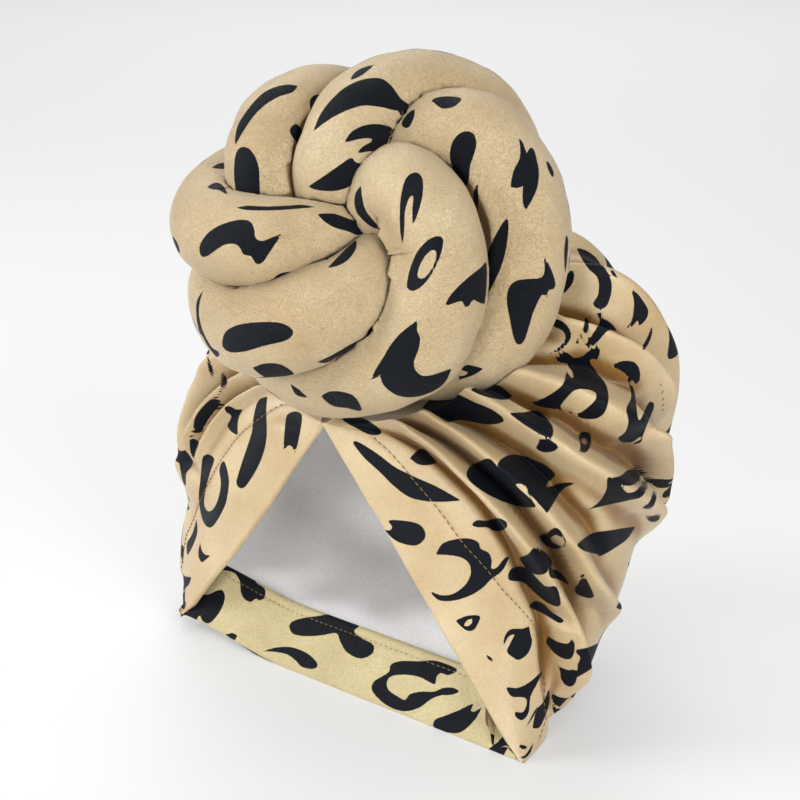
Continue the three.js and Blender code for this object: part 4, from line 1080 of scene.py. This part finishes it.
def roll_surface(name):
    """Rings along the route. Their radius is the girth with rounded ends, held to a share of
    the bend's own radius on its inner side, softly merged with the pressed radius, less short
    creases across the inner side of tight bends, plus soft lumps of padding. Towards the knot's
    middle the padding bulges further, until the rolls meet. Also gives the painted shade of each
    point, from 0 to 1, by how deep it lies in a seam or crease, and the route with its directions."""
    centres, radii = roll_route(ROLLS[name], RINGS)
    tangents = unit(np.gradient(centres, axis=0))
    spacing = np.linalg.norm(centres[1] - centres[0])
    side = KNOT_OUT
    sides = []
    for tangent in tangents:
        side = unit(side - tangent * (side @ tangent))
        sides.append(side)
    sides = np.array(sides)
    crosses = np.cross(tangents, sides)
    angles = np.arange(SIDES) * 2 * math.pi / SIDES
    ways = (sides[:, None] * np.cos(angles)[None, :, None]
            + crosses[:, None] * np.sin(angles)[None, :, None])
    bends = np.gradient(tangents, axis=0) / spacing
    inward = (ways * bends[:, None]).sum(-1)
    run = np.arange(RINGS) * spacing
    from_start = np.minimum(run / radii, 1)
    from_end = np.minimum((run[-1] - run) / radii, 1)
    rounding = np.sqrt(1 - (1 - np.minimum(from_start, from_end)) ** 2)
    middlewards = (ways * unit(KNOT_CENTRE - centres)[:, None]).sum(-1)
    squeeze = 1 + MIDDLE_SQUEEZE * smooth_rise(middlewards, *MIDDLEWARDS)
    round_radii = np.maximum(radii * rounding, TIP_RADIUS)[:, None] * squeeze
    free = np.where(inward > 0, np.minimum(round_radii, BEND_SHARE / np.maximum(inward, 1e-6)),
                    round_radii)
    coarse = np.s_[::2, ::2]
    base = np.broadcast_to(centres[:, None], ways.shape)[coarse]
    limits = pressed_radii(
        name, base.reshape(-1, 3), ways[coarse].reshape(-1, 3), free[coarse].ravel(),
    ).reshape(base.shape[:2])
    limits = doubled(doubled(limits, 0, False), 1, True)
    merged = -CONTACT_SOFTNESS * np.logaddexp(-free / CONTACT_SOFTNESS, -limits / CONTACT_SOFTNESS)
    tightness = smooth_rise(inward * radii[:, None], *CREASE_TIGHTNESS)
    turns = 2 * math.pi * run[:, None]
    wave = np.sin(turns / CREASE_SPACING + CREASE_WAVER * np.sin(2 * angles))
    swell = np.sin(turns / SWELL_SPACING + 1.0)
    crease = CREASE_DEPTH * tightness * (0.5 + 0.5 * wave) ** 2 * (0.6 + 0.4 * swell)
    grid = centres[:, None] + ways * np.maximum(merged - crease, TIP_RADIUS)[..., None]
    # Painted shade: darker where the roll is pressed into a seam with its neighbours, and in its
    # creases
    painted_shade = (smooth_rise(free - merged, 0.0, PRESSED_DARK)
              + CREASE_SHADE_SHARE * crease / CREASE_DEPTH)
    swollen = sum(height * lumps(grid, size, len(name)) for size, height in PADDING_LUMPS)
    swollen = swollen * rounding[:, None]
    return grid + ways * swollen[..., None], np.minimum(painted_shade, 1), centres, tangents


def make_roll(name):
    """Padded roll of the knot, its ends closed to points on the route."""
    grid, painted_shade, centres, tangents = roll_surface(name)
    normals = tube_normals(grid)
    charts = [(KNOT_CHART, KNOT_MARKS[name], KNOT_HOLES.get(name, []))]
    ink = printed(grid, normals, charts, KNOT_SEED + len(name), KNOT_EDGE_ON)
    tips = np.stack([centres[0] - tangents[0] * TIP_RADIUS, centres[-1] + tangents[-1] * TIP_RADIUS])
    points = np.concatenate([grid.reshape(-1, 3), tips])
    index = np.arange(SIDES)
    following = np.roll(index, -1)
    last = (RINGS - 1) * SIDES
    start_tip = np.full(SIDES, RINGS * SIDES)
    fans = np.concatenate([
        np.stack([start_tip, following, index], -1),
        np.stack([start_tip + 1, last + index, last + following], -1),
    ])
    faces = grid_faces(RINGS, SIDES, closed=True).tolist() + fans.tolist()
    # The ink and the painted shade ride on the mesh as attributes, the tips taking their first and
    # last ring's values
    attributes = [
        (label, np.concatenate([values.ravel(), values[0, :1], values[-1, :1]]))
        for label, values in (("ink", ink), ("painted_shade", painted_shade))
    ]
    piece = new_piece("knot_roll_" + name, points, faces, CREPE, attributes)
    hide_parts("roll_" + name)


for roll_name in ROLLS:
    make_roll(roll_name)

# Cap

# Rows down and columns across as (end value, steps), closest where the photograph looks at
# the cloth and where it opens out under the knot
CAP_ROWS = [(0.03, 12), (0.13, 30), (0.34, 52), (0.75, 84), (1.00, 50)]
CAP_COLUMNS = [(0.065, 26), (0.16, 62), (0.22, 24), (0.63, 96), (0.93, 160), (1.00, 28)]
SEAT_BALL_SHARE = 0.98
SEAT_GAP = 0.9
FLOOR_GAP = 0.15
# Cosines, left and right, below which the print no longer follows the photograph, and how soon
# above them it does so fully
SIDE_EDGE_ON = (0.08, 0.02)
EDGE_ON_STEP = 0.1
CAP_SEED = 31
# Soft lumps: size in millimetres, seed, height in millimetres, rows over which they begin
CAP_LUMP_SIZE = 30.0
CAP_LUMP_SEED = 5
CAP_LUMP_HEIGHT = 0.5
CAP_LUMPS_DOWN = (0.1, 0.3)
# Hem fold: its radius, the share that it loses at the nape edge, over which rows, and its steps
FOLD_RADIUS = 1.4
FOLD_TAPER = 0.85
FOLD_TAPER_DOWN = (0.92, 1.0)
HALF_TURN = np.linspace(0, math.pi, 7)[1:, None]
# Stitch lines of the left and right hems as (down, across) points
HEM_LINES = [
    [(0.03, 0.100), (0.067, 0.077), (0.134, 0.062), (0.30, 0.060), (0.47, 0.069), (0.63, 0.080),
     (0.97, 0.070)],
    [(0.03, 0.925), (0.057, 0.938), (0.15, 0.944), (0.29, 0.935), (0.43, 0.915), (0.55, 0.900),
     (0.69, 0.887), (0.80, 0.886), (0.89, 0.897), (0.97, 0.935)],
]
# The stitches pull the cloth in along the hems' lines, which run over these rows
SEAM_DEPTH = 0.5
SEAM_WIDTH = 0.0035
HEM_DOWN = (0.03, 0.97)
# The lower edge draws in and up beside the right corner: rows, middle column, fade, move in mm
TUCK_DOWN = (0.72, 1.0)
TUCK_ACROSS = 0.842
TUCK_REACH = (0.012, 0.062)
TUCK = np.array([-12.0, 0.0, 10.0])
# A place this far below the eased folds, in millimetres, is fully in the painted shade of its crease
CREASE_DARK = 2.2
CAP_EASINGS = 60


def corner_lift(x):
    """Height of the nape edge over the floor: it rises smoothly to the left corner."""
    return LEFT_CORNER_LIFT * smooth_rise(-x, LIFT_FROM_SHARE * MOUTH_HALF_WIDTH, MOUTH_HALF_WIDTH)


SECTION_CURVES = [steady_curve(SECTIONS[:, 0], SECTIONS[:, column]) for column in range(1, 7)]


def cap_points(down, across):
    """Smooth cap: each section is a superellipse through both flap edges, in a plane that tips
    up towards the back, and eases onto the mouth's plane near the flap edges."""
    tilt, half_width, depth_share, brow, power, aside = [curve(down) for curve in SECTION_CURVES]
    half_width = half_width * CAP_HALF_WIDTH
    back = depth_share * CAP_DEPTH
    front = -brow * CAP_DEPTH
    edge = np.minimum(MOUTH_HALF_WIDTH * down, EDGE_WITHIN_SECTION * half_width)
    reach = (back - front) / 2
    middle = (back + front) / 2
    start = np.arcsin((edge / half_width) ** (power / 2))
    angle = start + (2 * math.pi - 2 * start) * across
    sine = np.sin(angle)
    cosine = np.cos(angle)
    in_from_edge = smooth_rise(np.minimum(across, 1 - across), 0, EDGE_FADE)
    x = (-half_width * np.sign(sine) * np.abs(sine) ** (2 / power)
         + aside * CAP_HALF_WIDTH * in_from_edge)
    edge_depth = middle - reach * np.cos(start) ** (2 / power)
    depth = (middle - reach * np.sign(cosine) * np.abs(cosine) ** (2 / power)
             - edge_depth * (1 - in_from_edge))
    tilt = np.radians(tilt)
    return np.stack([
        x,
        -NAPE_AHEAD - APEX_LEAN * (1 - down) + depth * np.cos(tilt),
        MOUTH_HEIGHT * (1 - down) + depth * np.sin(tilt) + down * corner_lift(x),
    ], -1)


def pleat_height(down, across):
    """Pleats as bells across lines that wander a little, rising under the knot and dying away
    lower down."""
    height = np.zeros(down.shape)
    for top, low, start, end, peak, width in BACK_PLEATS:
        along = np.clip((down - start) / (end - start), 0, 1)
        wander = PLEAT_WANDER * width * np.sin(PLEAT_WAVES * down + PLEAT_WAVE_SHIFT * top)
        away = (across - (top + (low - top) * along + wander)) / width
        rise = smooth_rise(down, start, start + PLEAT_RISE)
        fall = 1 - smooth_rise(down, end - PLEAT_FALL, end)
        height += peak * np.exp(-away ** 2) * rise * fall
    return height


def fold_height(down, across):
    """Folds across their own curved lines, the same way: ridges are round bells and creases are
    bells with a sharper bottom."""
    height = np.zeros(down.shape)
    for peak, width, line in SIDE_FOLDS:
        places = np.array(line)
        start, end = places[[0, -1], 0]
        middle = steady_curve(places[:, 0], places[:, 1])(np.clip(down, start, end))
        away = np.abs(across - middle) / (FOLD_WIDTH * width)
        rise = smooth_rise(down, start + FOLD_START[0], start + FOLD_START[1])
        fall = 1 - smooth_rise(down, end - FOLD_FALL_SHARE * (end - start), end)
        power = RIDGE_POWER if peak > 0 else CREASE_POWER
        height += peak * np.exp(-away ** power) * rise * fall
    return FOLD_DEPTH * height


def seated(points, clearance):
    """Each point moved straight out from the knot's centre to where its line last leaves the
    rolls' balls, grown by the clearance, and no nearer than the knot's own ball."""
    away = points - KNOT_CENTRE
    start = np.linalg.norm(away, axis=-1)
    ways = away / start[..., None]
    farthest = np.maximum(start, SEAT_BALL_SHARE * KNOT_RADIUS + clearance)
    near = start < 2 * KNOT_RADIUS
    reach = farthest[near]
    for centres, radii in ROUTES.values():
        offset = centres - KNOT_CENTRE
        along = ways[near] @ offset.T
        inside = along ** 2 - (offset ** 2).sum(-1) + (radii + clearance) ** 2
        leaves = np.where(inside > 0, along + np.sqrt(np.maximum(inside, 0)), 0)
        reach = np.maximum(reach, leaves.max(1))
    farthest[near] = reach
    return KNOT_CENTRE + ways * np.where(near, farthest, start)[..., None]


def folded_hem(outer, normals, edge, inner, columns):
    """Cloth turned in at a flap edge: half a round fold past the edge column, then columns
    that lie behind the outer face, two fold radii in. The fold is thinner at the nape edge."""
    outward = unit(outer[:, edge] - outer[:, inner])
    outward = unit(outward + 2 * outward[len(outward) // 2])
    taper = FOLD_TAPER * smooth_rise(cap_down[:, :1, None], *FOLD_TAPER_DOWN)
    radius = FOLD_RADIUS * (1 - taper)
    fold = (outer[:, edge][:, None]
            - normals[:, edge][:, None] * radius * (1 - np.cos(HALF_TURN))
            + outward[:, None] * radius * np.sin(HALF_TURN))
    behind = outer[:, columns] - normals[:, columns] * 2 * radius
    return np.concatenate([fold, behind], 1)


cap_across, cap_down = np.meshgrid(spread(CAP_COLUMNS), spread(CAP_ROWS))
smooth_cap = cap_points(cap_down, cap_across)
smooth_normals = grid_normals(smooth_cap)
cap_folds = pleat_height(cap_down, cap_across) + fold_height(cap_down, cap_across)
HEM_CURVES = [steady_curve(*np.array(line).T) for line in HEM_LINES]
seam_dip = sum(
    SEAM_DEPTH * np.exp(-((cap_across - curve(np.clip(cap_down, *HEM_DOWN))) / SEAM_WIDTH) ** 2)
    for curve in HEM_CURVES)
# Painted shade of the cap: darker in the creases below the eased folds and along the hems' stitch
# dips
cap_painted_shade = smooth_rise(eased(cap_folds, CAP_EASINGS) - cap_folds + seam_dip, 0.0, CREASE_DARK)
cap_face = smooth_cap + smooth_normals * (cap_folds - seam_dip)[..., None]
cap_lumps = CAP_LUMP_HEIGHT * lumps(cap_face, CAP_LUMP_SIZE, CAP_LUMP_SEED)
cap_face = cap_face + smooth_normals * (
    cap_lumps * smooth_rise(cap_down, *CAP_LUMPS_DOWN))[..., None]
tucked = smooth_rise(cap_down, *TUCK_DOWN) * (
    1 - smooth_rise(np.abs(cap_across - TUCK_ACROSS), *TUCK_REACH))
cap_face = cap_face + tucked[..., None] * TUCK
cap_face = seated(cap_face, SEAT_GAP)
cap_face[..., 2] = np.maximum(cap_face[..., 2], FLOOR_GAP)
cap_normals = grid_normals(cap_face)


def make_cap_cloth():
    """Outer cloth in one piece, with both flap edges folded in as hems and its first row
    closed by a fan to its middle."""
    last = cap_face.shape[1] - 1
    left_hem = folded_hem(cap_face, cap_normals, 0, 6, np.arange(2, 26, 4))
    right_hem = folded_hem(cap_face, cap_normals, last, last - 6, last - np.arange(2, 28, 4))
    grid = np.concatenate([left_hem[:, ::-1], cap_face, right_hem], 1)
    grid[..., 2] = np.maximum(grid[..., 2], FLOOR_GAP)
    rows, columns = grid.shape[:2]
    normals = np.concatenate([
        np.repeat(cap_normals[:, :1], left_hem.shape[1], 1),
        smooth_normals,
        np.repeat(cap_normals[:, -1:], right_hem.shape[1], 1),
    ], 1)
    charts = [
        (SIDE_CHART, SIDE_MARKS, SIDE_HOLES),
        (CROWN_CHART, CROWN_MARKS, CROWN_HOLES),
        (FLAP_CHART, FLAP_MARKS, []),
    ]
    edge_on = np.where(grid[..., 0] < 0, *SIDE_EDGE_ON)
    ink = printed(grid, normals, charts, CAP_SEED, (edge_on, edge_on + EDGE_ON_STEP))
    # The painted shade lies on the cap's face only; the hems get none and the apex fan's middle is
    # fully shaded
    painted_shade = np.zeros(ink.shape)
    painted_shade[:, left_hem.shape[1]:left_hem.shape[1] + cap_face.shape[1]] = cap_painted_shade
    apex = grid[0].mean(0, keepdims=True)
    fan = np.stack([
        np.arange(columns - 1), np.arange(1, columns), np.full(columns - 1, rows * columns),
    ], -1)
    piece = new_piece(
        "cap_cloth", np.concatenate([grid.reshape(-1, 3), apex]),
        grid_faces(rows, columns).tolist() + fan.tolist(), SATIN,
        [("ink", np.append(ink, FAR_FROM_INK)), ("painted_shade", np.append(painted_shade, 1.0))],
    )
    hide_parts("cap_shell", "hem_left", "hem_right")
    return piece


cap_cloth = make_cap_cloth()

# Nape band

BAND_WALL = 1.2
BAND_WIDTH = 26
BAND_SLOPE = math.radians(58)
BAND_FOOT_UP = 2.0
BAND_FOOT_BACK = 0.4
BAND_LOW_SHARE = 0.975
BAND_TOP_SHARE = 0.80
BAND_LEFT_REACH = 0.11
BAND_ROWS = 60
BAND_COLUMNS = 220
BAND_SEAM_UP = 0.86
BAND_SEAM_WIDTH = 0.02
BAND_SEAM_DEPTH = 0.45
WELT_HEIGHT = 0.9
WELT_UP = 0.935
WELT_HALF_WIDTH = 0.075
PUCKER_HEIGHT = 0.6
PUCKER_SIZE = 13.0
PUCKER_SEED = 9
PUCKERS_UP = (0, 0.3)
# Puckers are four times longer up the band than across it
PUCKER_STRETCH = np.array([1.0, 0.25, 0.25])
KNEE_OUT = 0.7
# The top turns over by this share of the width, then runs down behind to the second share
TOP_TURN = 0.03
BACK_DOWN = (0.98, 0.70)


def band_points(across, up, forward):
    """Places on the band: across its width, up its slope, forward out of its face. It narrows
    upwards, less on the left, where its top runs in behind the hem."""
    half_width = MOUTH_HALF_WIDTH * (BAND_LOW_SHARE + (BAND_TOP_SHARE - BAND_LOW_SHARE) * up)
    half_width = half_width * np.where(across < 0.5, 1 + BAND_LEFT_REACH * up, 1)
    x = half_width * (2 * across - 1)
    rise = up * BAND_WIDTH
    foot = -NAPE_AHEAD + math.sin(BAND_SLOPE) * BAND_WALL + BAND_FOOT_BACK
    y = foot + rise * math.cos(BAND_SLOPE) - forward * math.sin(BAND_SLOPE)
    z = (BAND_FOOT_UP + corner_lift(x) + rise * math.sin(BAND_SLOPE)
         + forward * math.cos(BAND_SLOPE))
    return np.stack(np.broadcast_arrays(x, y, z), -1)


def band_face(across, up):
    """Front of the band: a rounded welt above the seam, a dip at the seam and soft puckers
    that fan down from it."""
    welt = WELT_HEIGHT * np.sqrt(np.clip(1 - ((up - WELT_UP) / WELT_HALF_WIDTH) ** 2, 0, 1))
    dip = BAND_SEAM_DEPTH * np.exp(-((up - BAND_SEAM_UP) / BAND_SEAM_WIDTH) ** 2)
    base = band_points(across, up, BAND_WALL)
    puckers = PUCKER_HEIGHT * lumps(base * PUCKER_STRETCH, PUCKER_SIZE, PUCKER_SEED)
    puckers = puckers * smooth_rise(up, *PUCKERS_UP) * (up < BAND_SEAM_UP)
    return band_points(across, up, BAND_WALL + welt - dip + puckers)


def make_band():
    """Strip along the nape: a fold at the nape edge, the face, and its top turned over."""
    across = np.linspace(0, 1, BAND_COLUMNS)[None]
    face = band_face(across, np.linspace(0, 1, BAND_ROWS)[:, None])
    foot = face[:1].copy()
    foot[..., 1] = -NAPE_AHEAD
    foot[..., 2] = corner_lift(foot[..., 0]) + FLOOR_GAP
    knee = (foot + face[:1]) / 2
    knee[..., 1] -= KNEE_OUT
    over = band_points(
        across, 1 + TOP_TURN * np.sin(HALF_TURN), BAND_WALL / 2 * (1 + np.cos(HALF_TURN)))
    back = band_points(across, np.linspace(*BACK_DOWN, 6)[:, None], 0.0)
    grid = np.concatenate([foot, knee, face, over, back])
    ink = charted_ink(grid, [(BAND_CHART, BAND_MARKS, [])])
    faces = grid_faces(*grid.shape[:2]).tolist()
    piece = new_piece("nape_band_cloth", grid, faces, KHAKI, [("ink", ink)])
    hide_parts("nape_band")
    return piece


nape_band = make_band()

# Lining

# The bag lies in from the cap by the inset, by the slack too away from the hems, and by the
# sag too in the middle of its back. Pairs give where each begins and is full
LINING_INSET = 3.4
LINING_SLACK = 5.0
LINING_SLACK_ACROSS = (0, 0.10)
LINING_SAG = 14.0
LINING_SAG_ACROSS = (0.05, 0.35)
LINING_SAG_DOWN = (0.10, 0.45)
LINING_CLEARANCE = 10.2
LINING_EDGE = 0.02
LINING_DOWN = (0.05, 0.78)
LINING_ROWS = 70
LINING_FLOOR_ROWS = 30
LINING_COLUMNS = 150
LINING_EASINGS = 90
# Its front edge lies behind the band: up the band, and out of its face
LINING_FRONT_UP = 0.98
LINING_FRONT_OUT = -0.4
LINING_LUMP_SIZE = 36.0
LINING_LUMP_SEED = 3
LINING_LUMP_HEIGHT = 1.8
LINING_LUMPS_REACH = (0, 0.12)


def make_lining():
    """Bag inside the cap: the smooth cap moved in, more away from the hems, kept clear of the
    knot's seat, with a floor that runs forward to the top of the band."""
    across, down = np.meshgrid(
        np.linspace(LINING_EDGE, 1 - LINING_EDGE, LINING_COLUMNS),
        np.linspace(*LINING_DOWN, LINING_ROWS),
    )
    base = cap_points(down, across)
    from_edge = np.minimum(across, 1 - across) - LINING_EDGE
    sag = smooth_rise(from_edge, *LINING_SAG_ACROSS) * smooth_rise(down, *LINING_SAG_DOWN)
    inset = (LINING_INSET + LINING_SLACK * smooth_rise(from_edge, *LINING_SLACK_ACROSS)
             + LINING_SAG * sag)
    hung = seated(base - grid_normals(base) * inset[..., None], LINING_CLEARANCE)
    low_row = hung[-1:]
    share = np.linspace(0, 1, LINING_FLOOR_ROWS + 1)[1:, None]
    behind_band = band_points(
        np.linspace(0, 1, LINING_COLUMNS)[None], LINING_FRONT_UP, LINING_FRONT_OUT)
    floor = low_row + (behind_band - low_row) * share[..., None]
    grid = eased(np.concatenate([hung, floor]), LINING_EASINGS)
    way_down = np.linspace(0, 1, len(grid))[:, None]
    looseness = (smooth_rise(from_edge[:1], *LINING_LUMPS_REACH)
                 * smooth_rise(np.minimum(way_down, 1 - way_down), *LINING_LUMPS_REACH))
    lumpy = LINING_LUMP_HEIGHT * lumps(grid, LINING_LUMP_SIZE, LINING_LUMP_SEED)
    grid = grid - grid_normals(grid) * (lumpy * looseness)[..., None]
    faces = grid_faces(*grid.shape[:2]).tolist()
    piece = new_piece("lining_bag", grid, faces, LINING)
    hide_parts("lining")
    return piece


lining = make_lining()

# Stitches

STITCH_PITCH = 2.9
STITCH_LENGTH = 2.1
STITCH_RADIUS = 0.24
STITCH_ARCH = 0.28
STITCH_SUNK = 0.04
STITCH_RINGS = 6
STITCH_SIDES = 6
STITCHES_DOWN = (0.04, 0.97)
BAND_STITCHES_ACROSS = (0.015, 0.985)


def make_stitches(name, line, normals):
    """Short threads along a line of points: each is a small tube, arched over the cloth and
    thinner at its ends."""
    run = lengths_along(line, 0)
    count = int(run[-1] / STITCH_PITCH)
    share = np.linspace(-1, 1, STITCH_RINGS)
    places = (np.arange(count)[:, None] + 0.5) * STITCH_PITCH + share * STITCH_LENGTH / 2
    centres = np.stack([np.interp(places, run, line[:, axis]) for axis in range(3)], -1)
    ups = unit(np.stack([np.interp(places, run, normals[:, axis]) for axis in range(3)], -1))
    forward = unit(np.gradient(centres, axis=1))
    sides = unit(np.cross(forward, ups))
    arch = STITCH_ARCH * (1 - share ** 2) - STITCH_SUNK
    centres = centres + ups * arch[None, :, None]
    radius = STITCH_RADIUS * np.sqrt(1 - 0.8 * share ** 2)
    angles = np.arange(STITCH_SIDES) * 2 * math.pi / STITCH_SIDES
    ring = (ups[:, :, None] * np.cos(angles)[None, None, :, None]
            + sides[:, :, None] * np.sin(angles)[None, None, :, None])
    points = centres[:, :, None] + ring * radius[None, :, None, None]
    one = grid_faces(STITCH_RINGS, STITCH_SIDES, closed=True)
    each = STITCH_RINGS * STITCH_SIDES
    tubes = (one[None] + np.arange(count)[:, None, None] * each).reshape(-1, 4)
    ends = np.stack([np.arange(STITCH_SIDES)[::-1], each - STITCH_SIDES + np.arange(STITCH_SIDES)])
    caps = (ends[None] + np.arange(count)[:, None, None] * each).reshape(-1, STITCH_SIDES)
    piece = new_piece(name, points, tubes.tolist() + caps.tolist(), THREAD)
    return piece


def hem_line(curve):
    """Points and normals of the cap's face along a hem's stitch line, between the columns on
    both sides of it."""
    first, last = STITCHES_DOWN
    rows = np.flatnonzero((cap_down[:, 0] > first) & (cap_down[:, 0] < last))
    columns = np.arange(cap_face.shape[1])
    place = np.interp(curve(cap_down[rows, 0]), cap_across[0], columns)
    low = place.astype(int)
    share = (place - low)[:, None]
    return [grid[rows, low] * (1 - share) + grid[rows, low + 1] * share
            for grid in (cap_face, cap_normals)]


left_stitches = make_stitches("stitches_left_hem", *hem_line(HEM_CURVES[0]))
right_stitches = make_stitches("stitches_right_hem", *hem_line(HEM_CURVES[1]))
seam_across = np.linspace(*BAND_STITCHES_ACROSS, 300)[None]
seam_line = band_face(seam_across, np.full((1, 1), BAND_SEAM_UP))[0]
seam_out = np.array([0.0, -math.sin(BAND_SLOPE), math.cos(BAND_SLOPE)])
band_stitches = make_stitches(
    "stitches_nape_band", seam_line, np.broadcast_to(seam_out, seam_line.shape))

# Floor and light

FLOOR_SIZE = 14.0
# The floor gives off a little white of its own, as it does when a studio's floor is lit
FLOOR_GLOW = 0.36
ROOM_LIGHT = 0.33


def make_floor():
    """Plain pale floor: painted board, satin and nearly white."""
    half = FLOOR_SIZE / 2
    mesh = bpy.data.meshes.new("floor")
    mesh.from_pydata(
        [(-half, -half, 0), (half, -half, 0), (half, half, 0), (-half, half, 0)],
        [], [(0, 1, 2, 3)],
    )
    material, tree = blank_material("white painted board")
    shader = node(
        tree, "ShaderNodeBsdfPrincipled",
        values=[("Base Color", linear("#B0B0B0")), ("Roughness", 0.55),
                ("Emission Color", linear("#FFFFFF")), ("Emission Strength", FLOOR_GLOW)],
    )
    node(tree, "ShaderNodeOutputMaterial", links=[("Surface", shader, "BSDF")])
    mesh.materials.append(material)
    floor = bpy.data.objects.new("floor", mesh)
    bpy.context.scene.collection.objects.link(floor)


make_floor()

# Soft boxes. Columns: name, place and aim in metres, side in metres, watts
SOFT_BOXES = [
    ("left", (-1.20, -0.80, 0.80), (0.0, -0.02, 0.13), 0.7, 18.0),
    ("right", (1.35, -0.50, 0.70), (0.0, -0.02, 0.13), 0.7, 16.0),
    ("front", (0.30, -1.65, 0.42), (0.0, -0.02, 0.13), 0.7, 12.5),
    ("top", (-0.20, 0.05, 1.50), (0.0, -0.02, 0.13), 0.7, 3.5),
    ("floor_wash", (-1.90, 2.30, 2.60), (-1.90, 2.30, 0.0), 3.0, 78.0),
]


def make_light(name, place, aim, side, watts):
    """Square soft box turned towards its aim."""
    data = bpy.data.lights.new(name, "AREA")
    data.size = side
    data.energy = watts
    light = bpy.data.objects.new(name, data)
    light.location = place
    light.rotation_euler = (Vector(aim) - light.location).to_track_quat("-Z", "Y").to_euler()
    bpy.context.scene.collection.objects.link(light)


for box in SOFT_BOXES:
    make_light(*box)

world = bpy.data.worlds.new("studio")
world.use_nodes = True
world.node_tree.nodes["Background"].inputs["Color"].default_value = linear("#F3F4F6")
world.node_tree.nodes["Background"].inputs["Strength"].default_value = ROOM_LIGHT
bpy.context.scene.world = world
bpy.context.scene.view_settings.view_transform = "Standard"
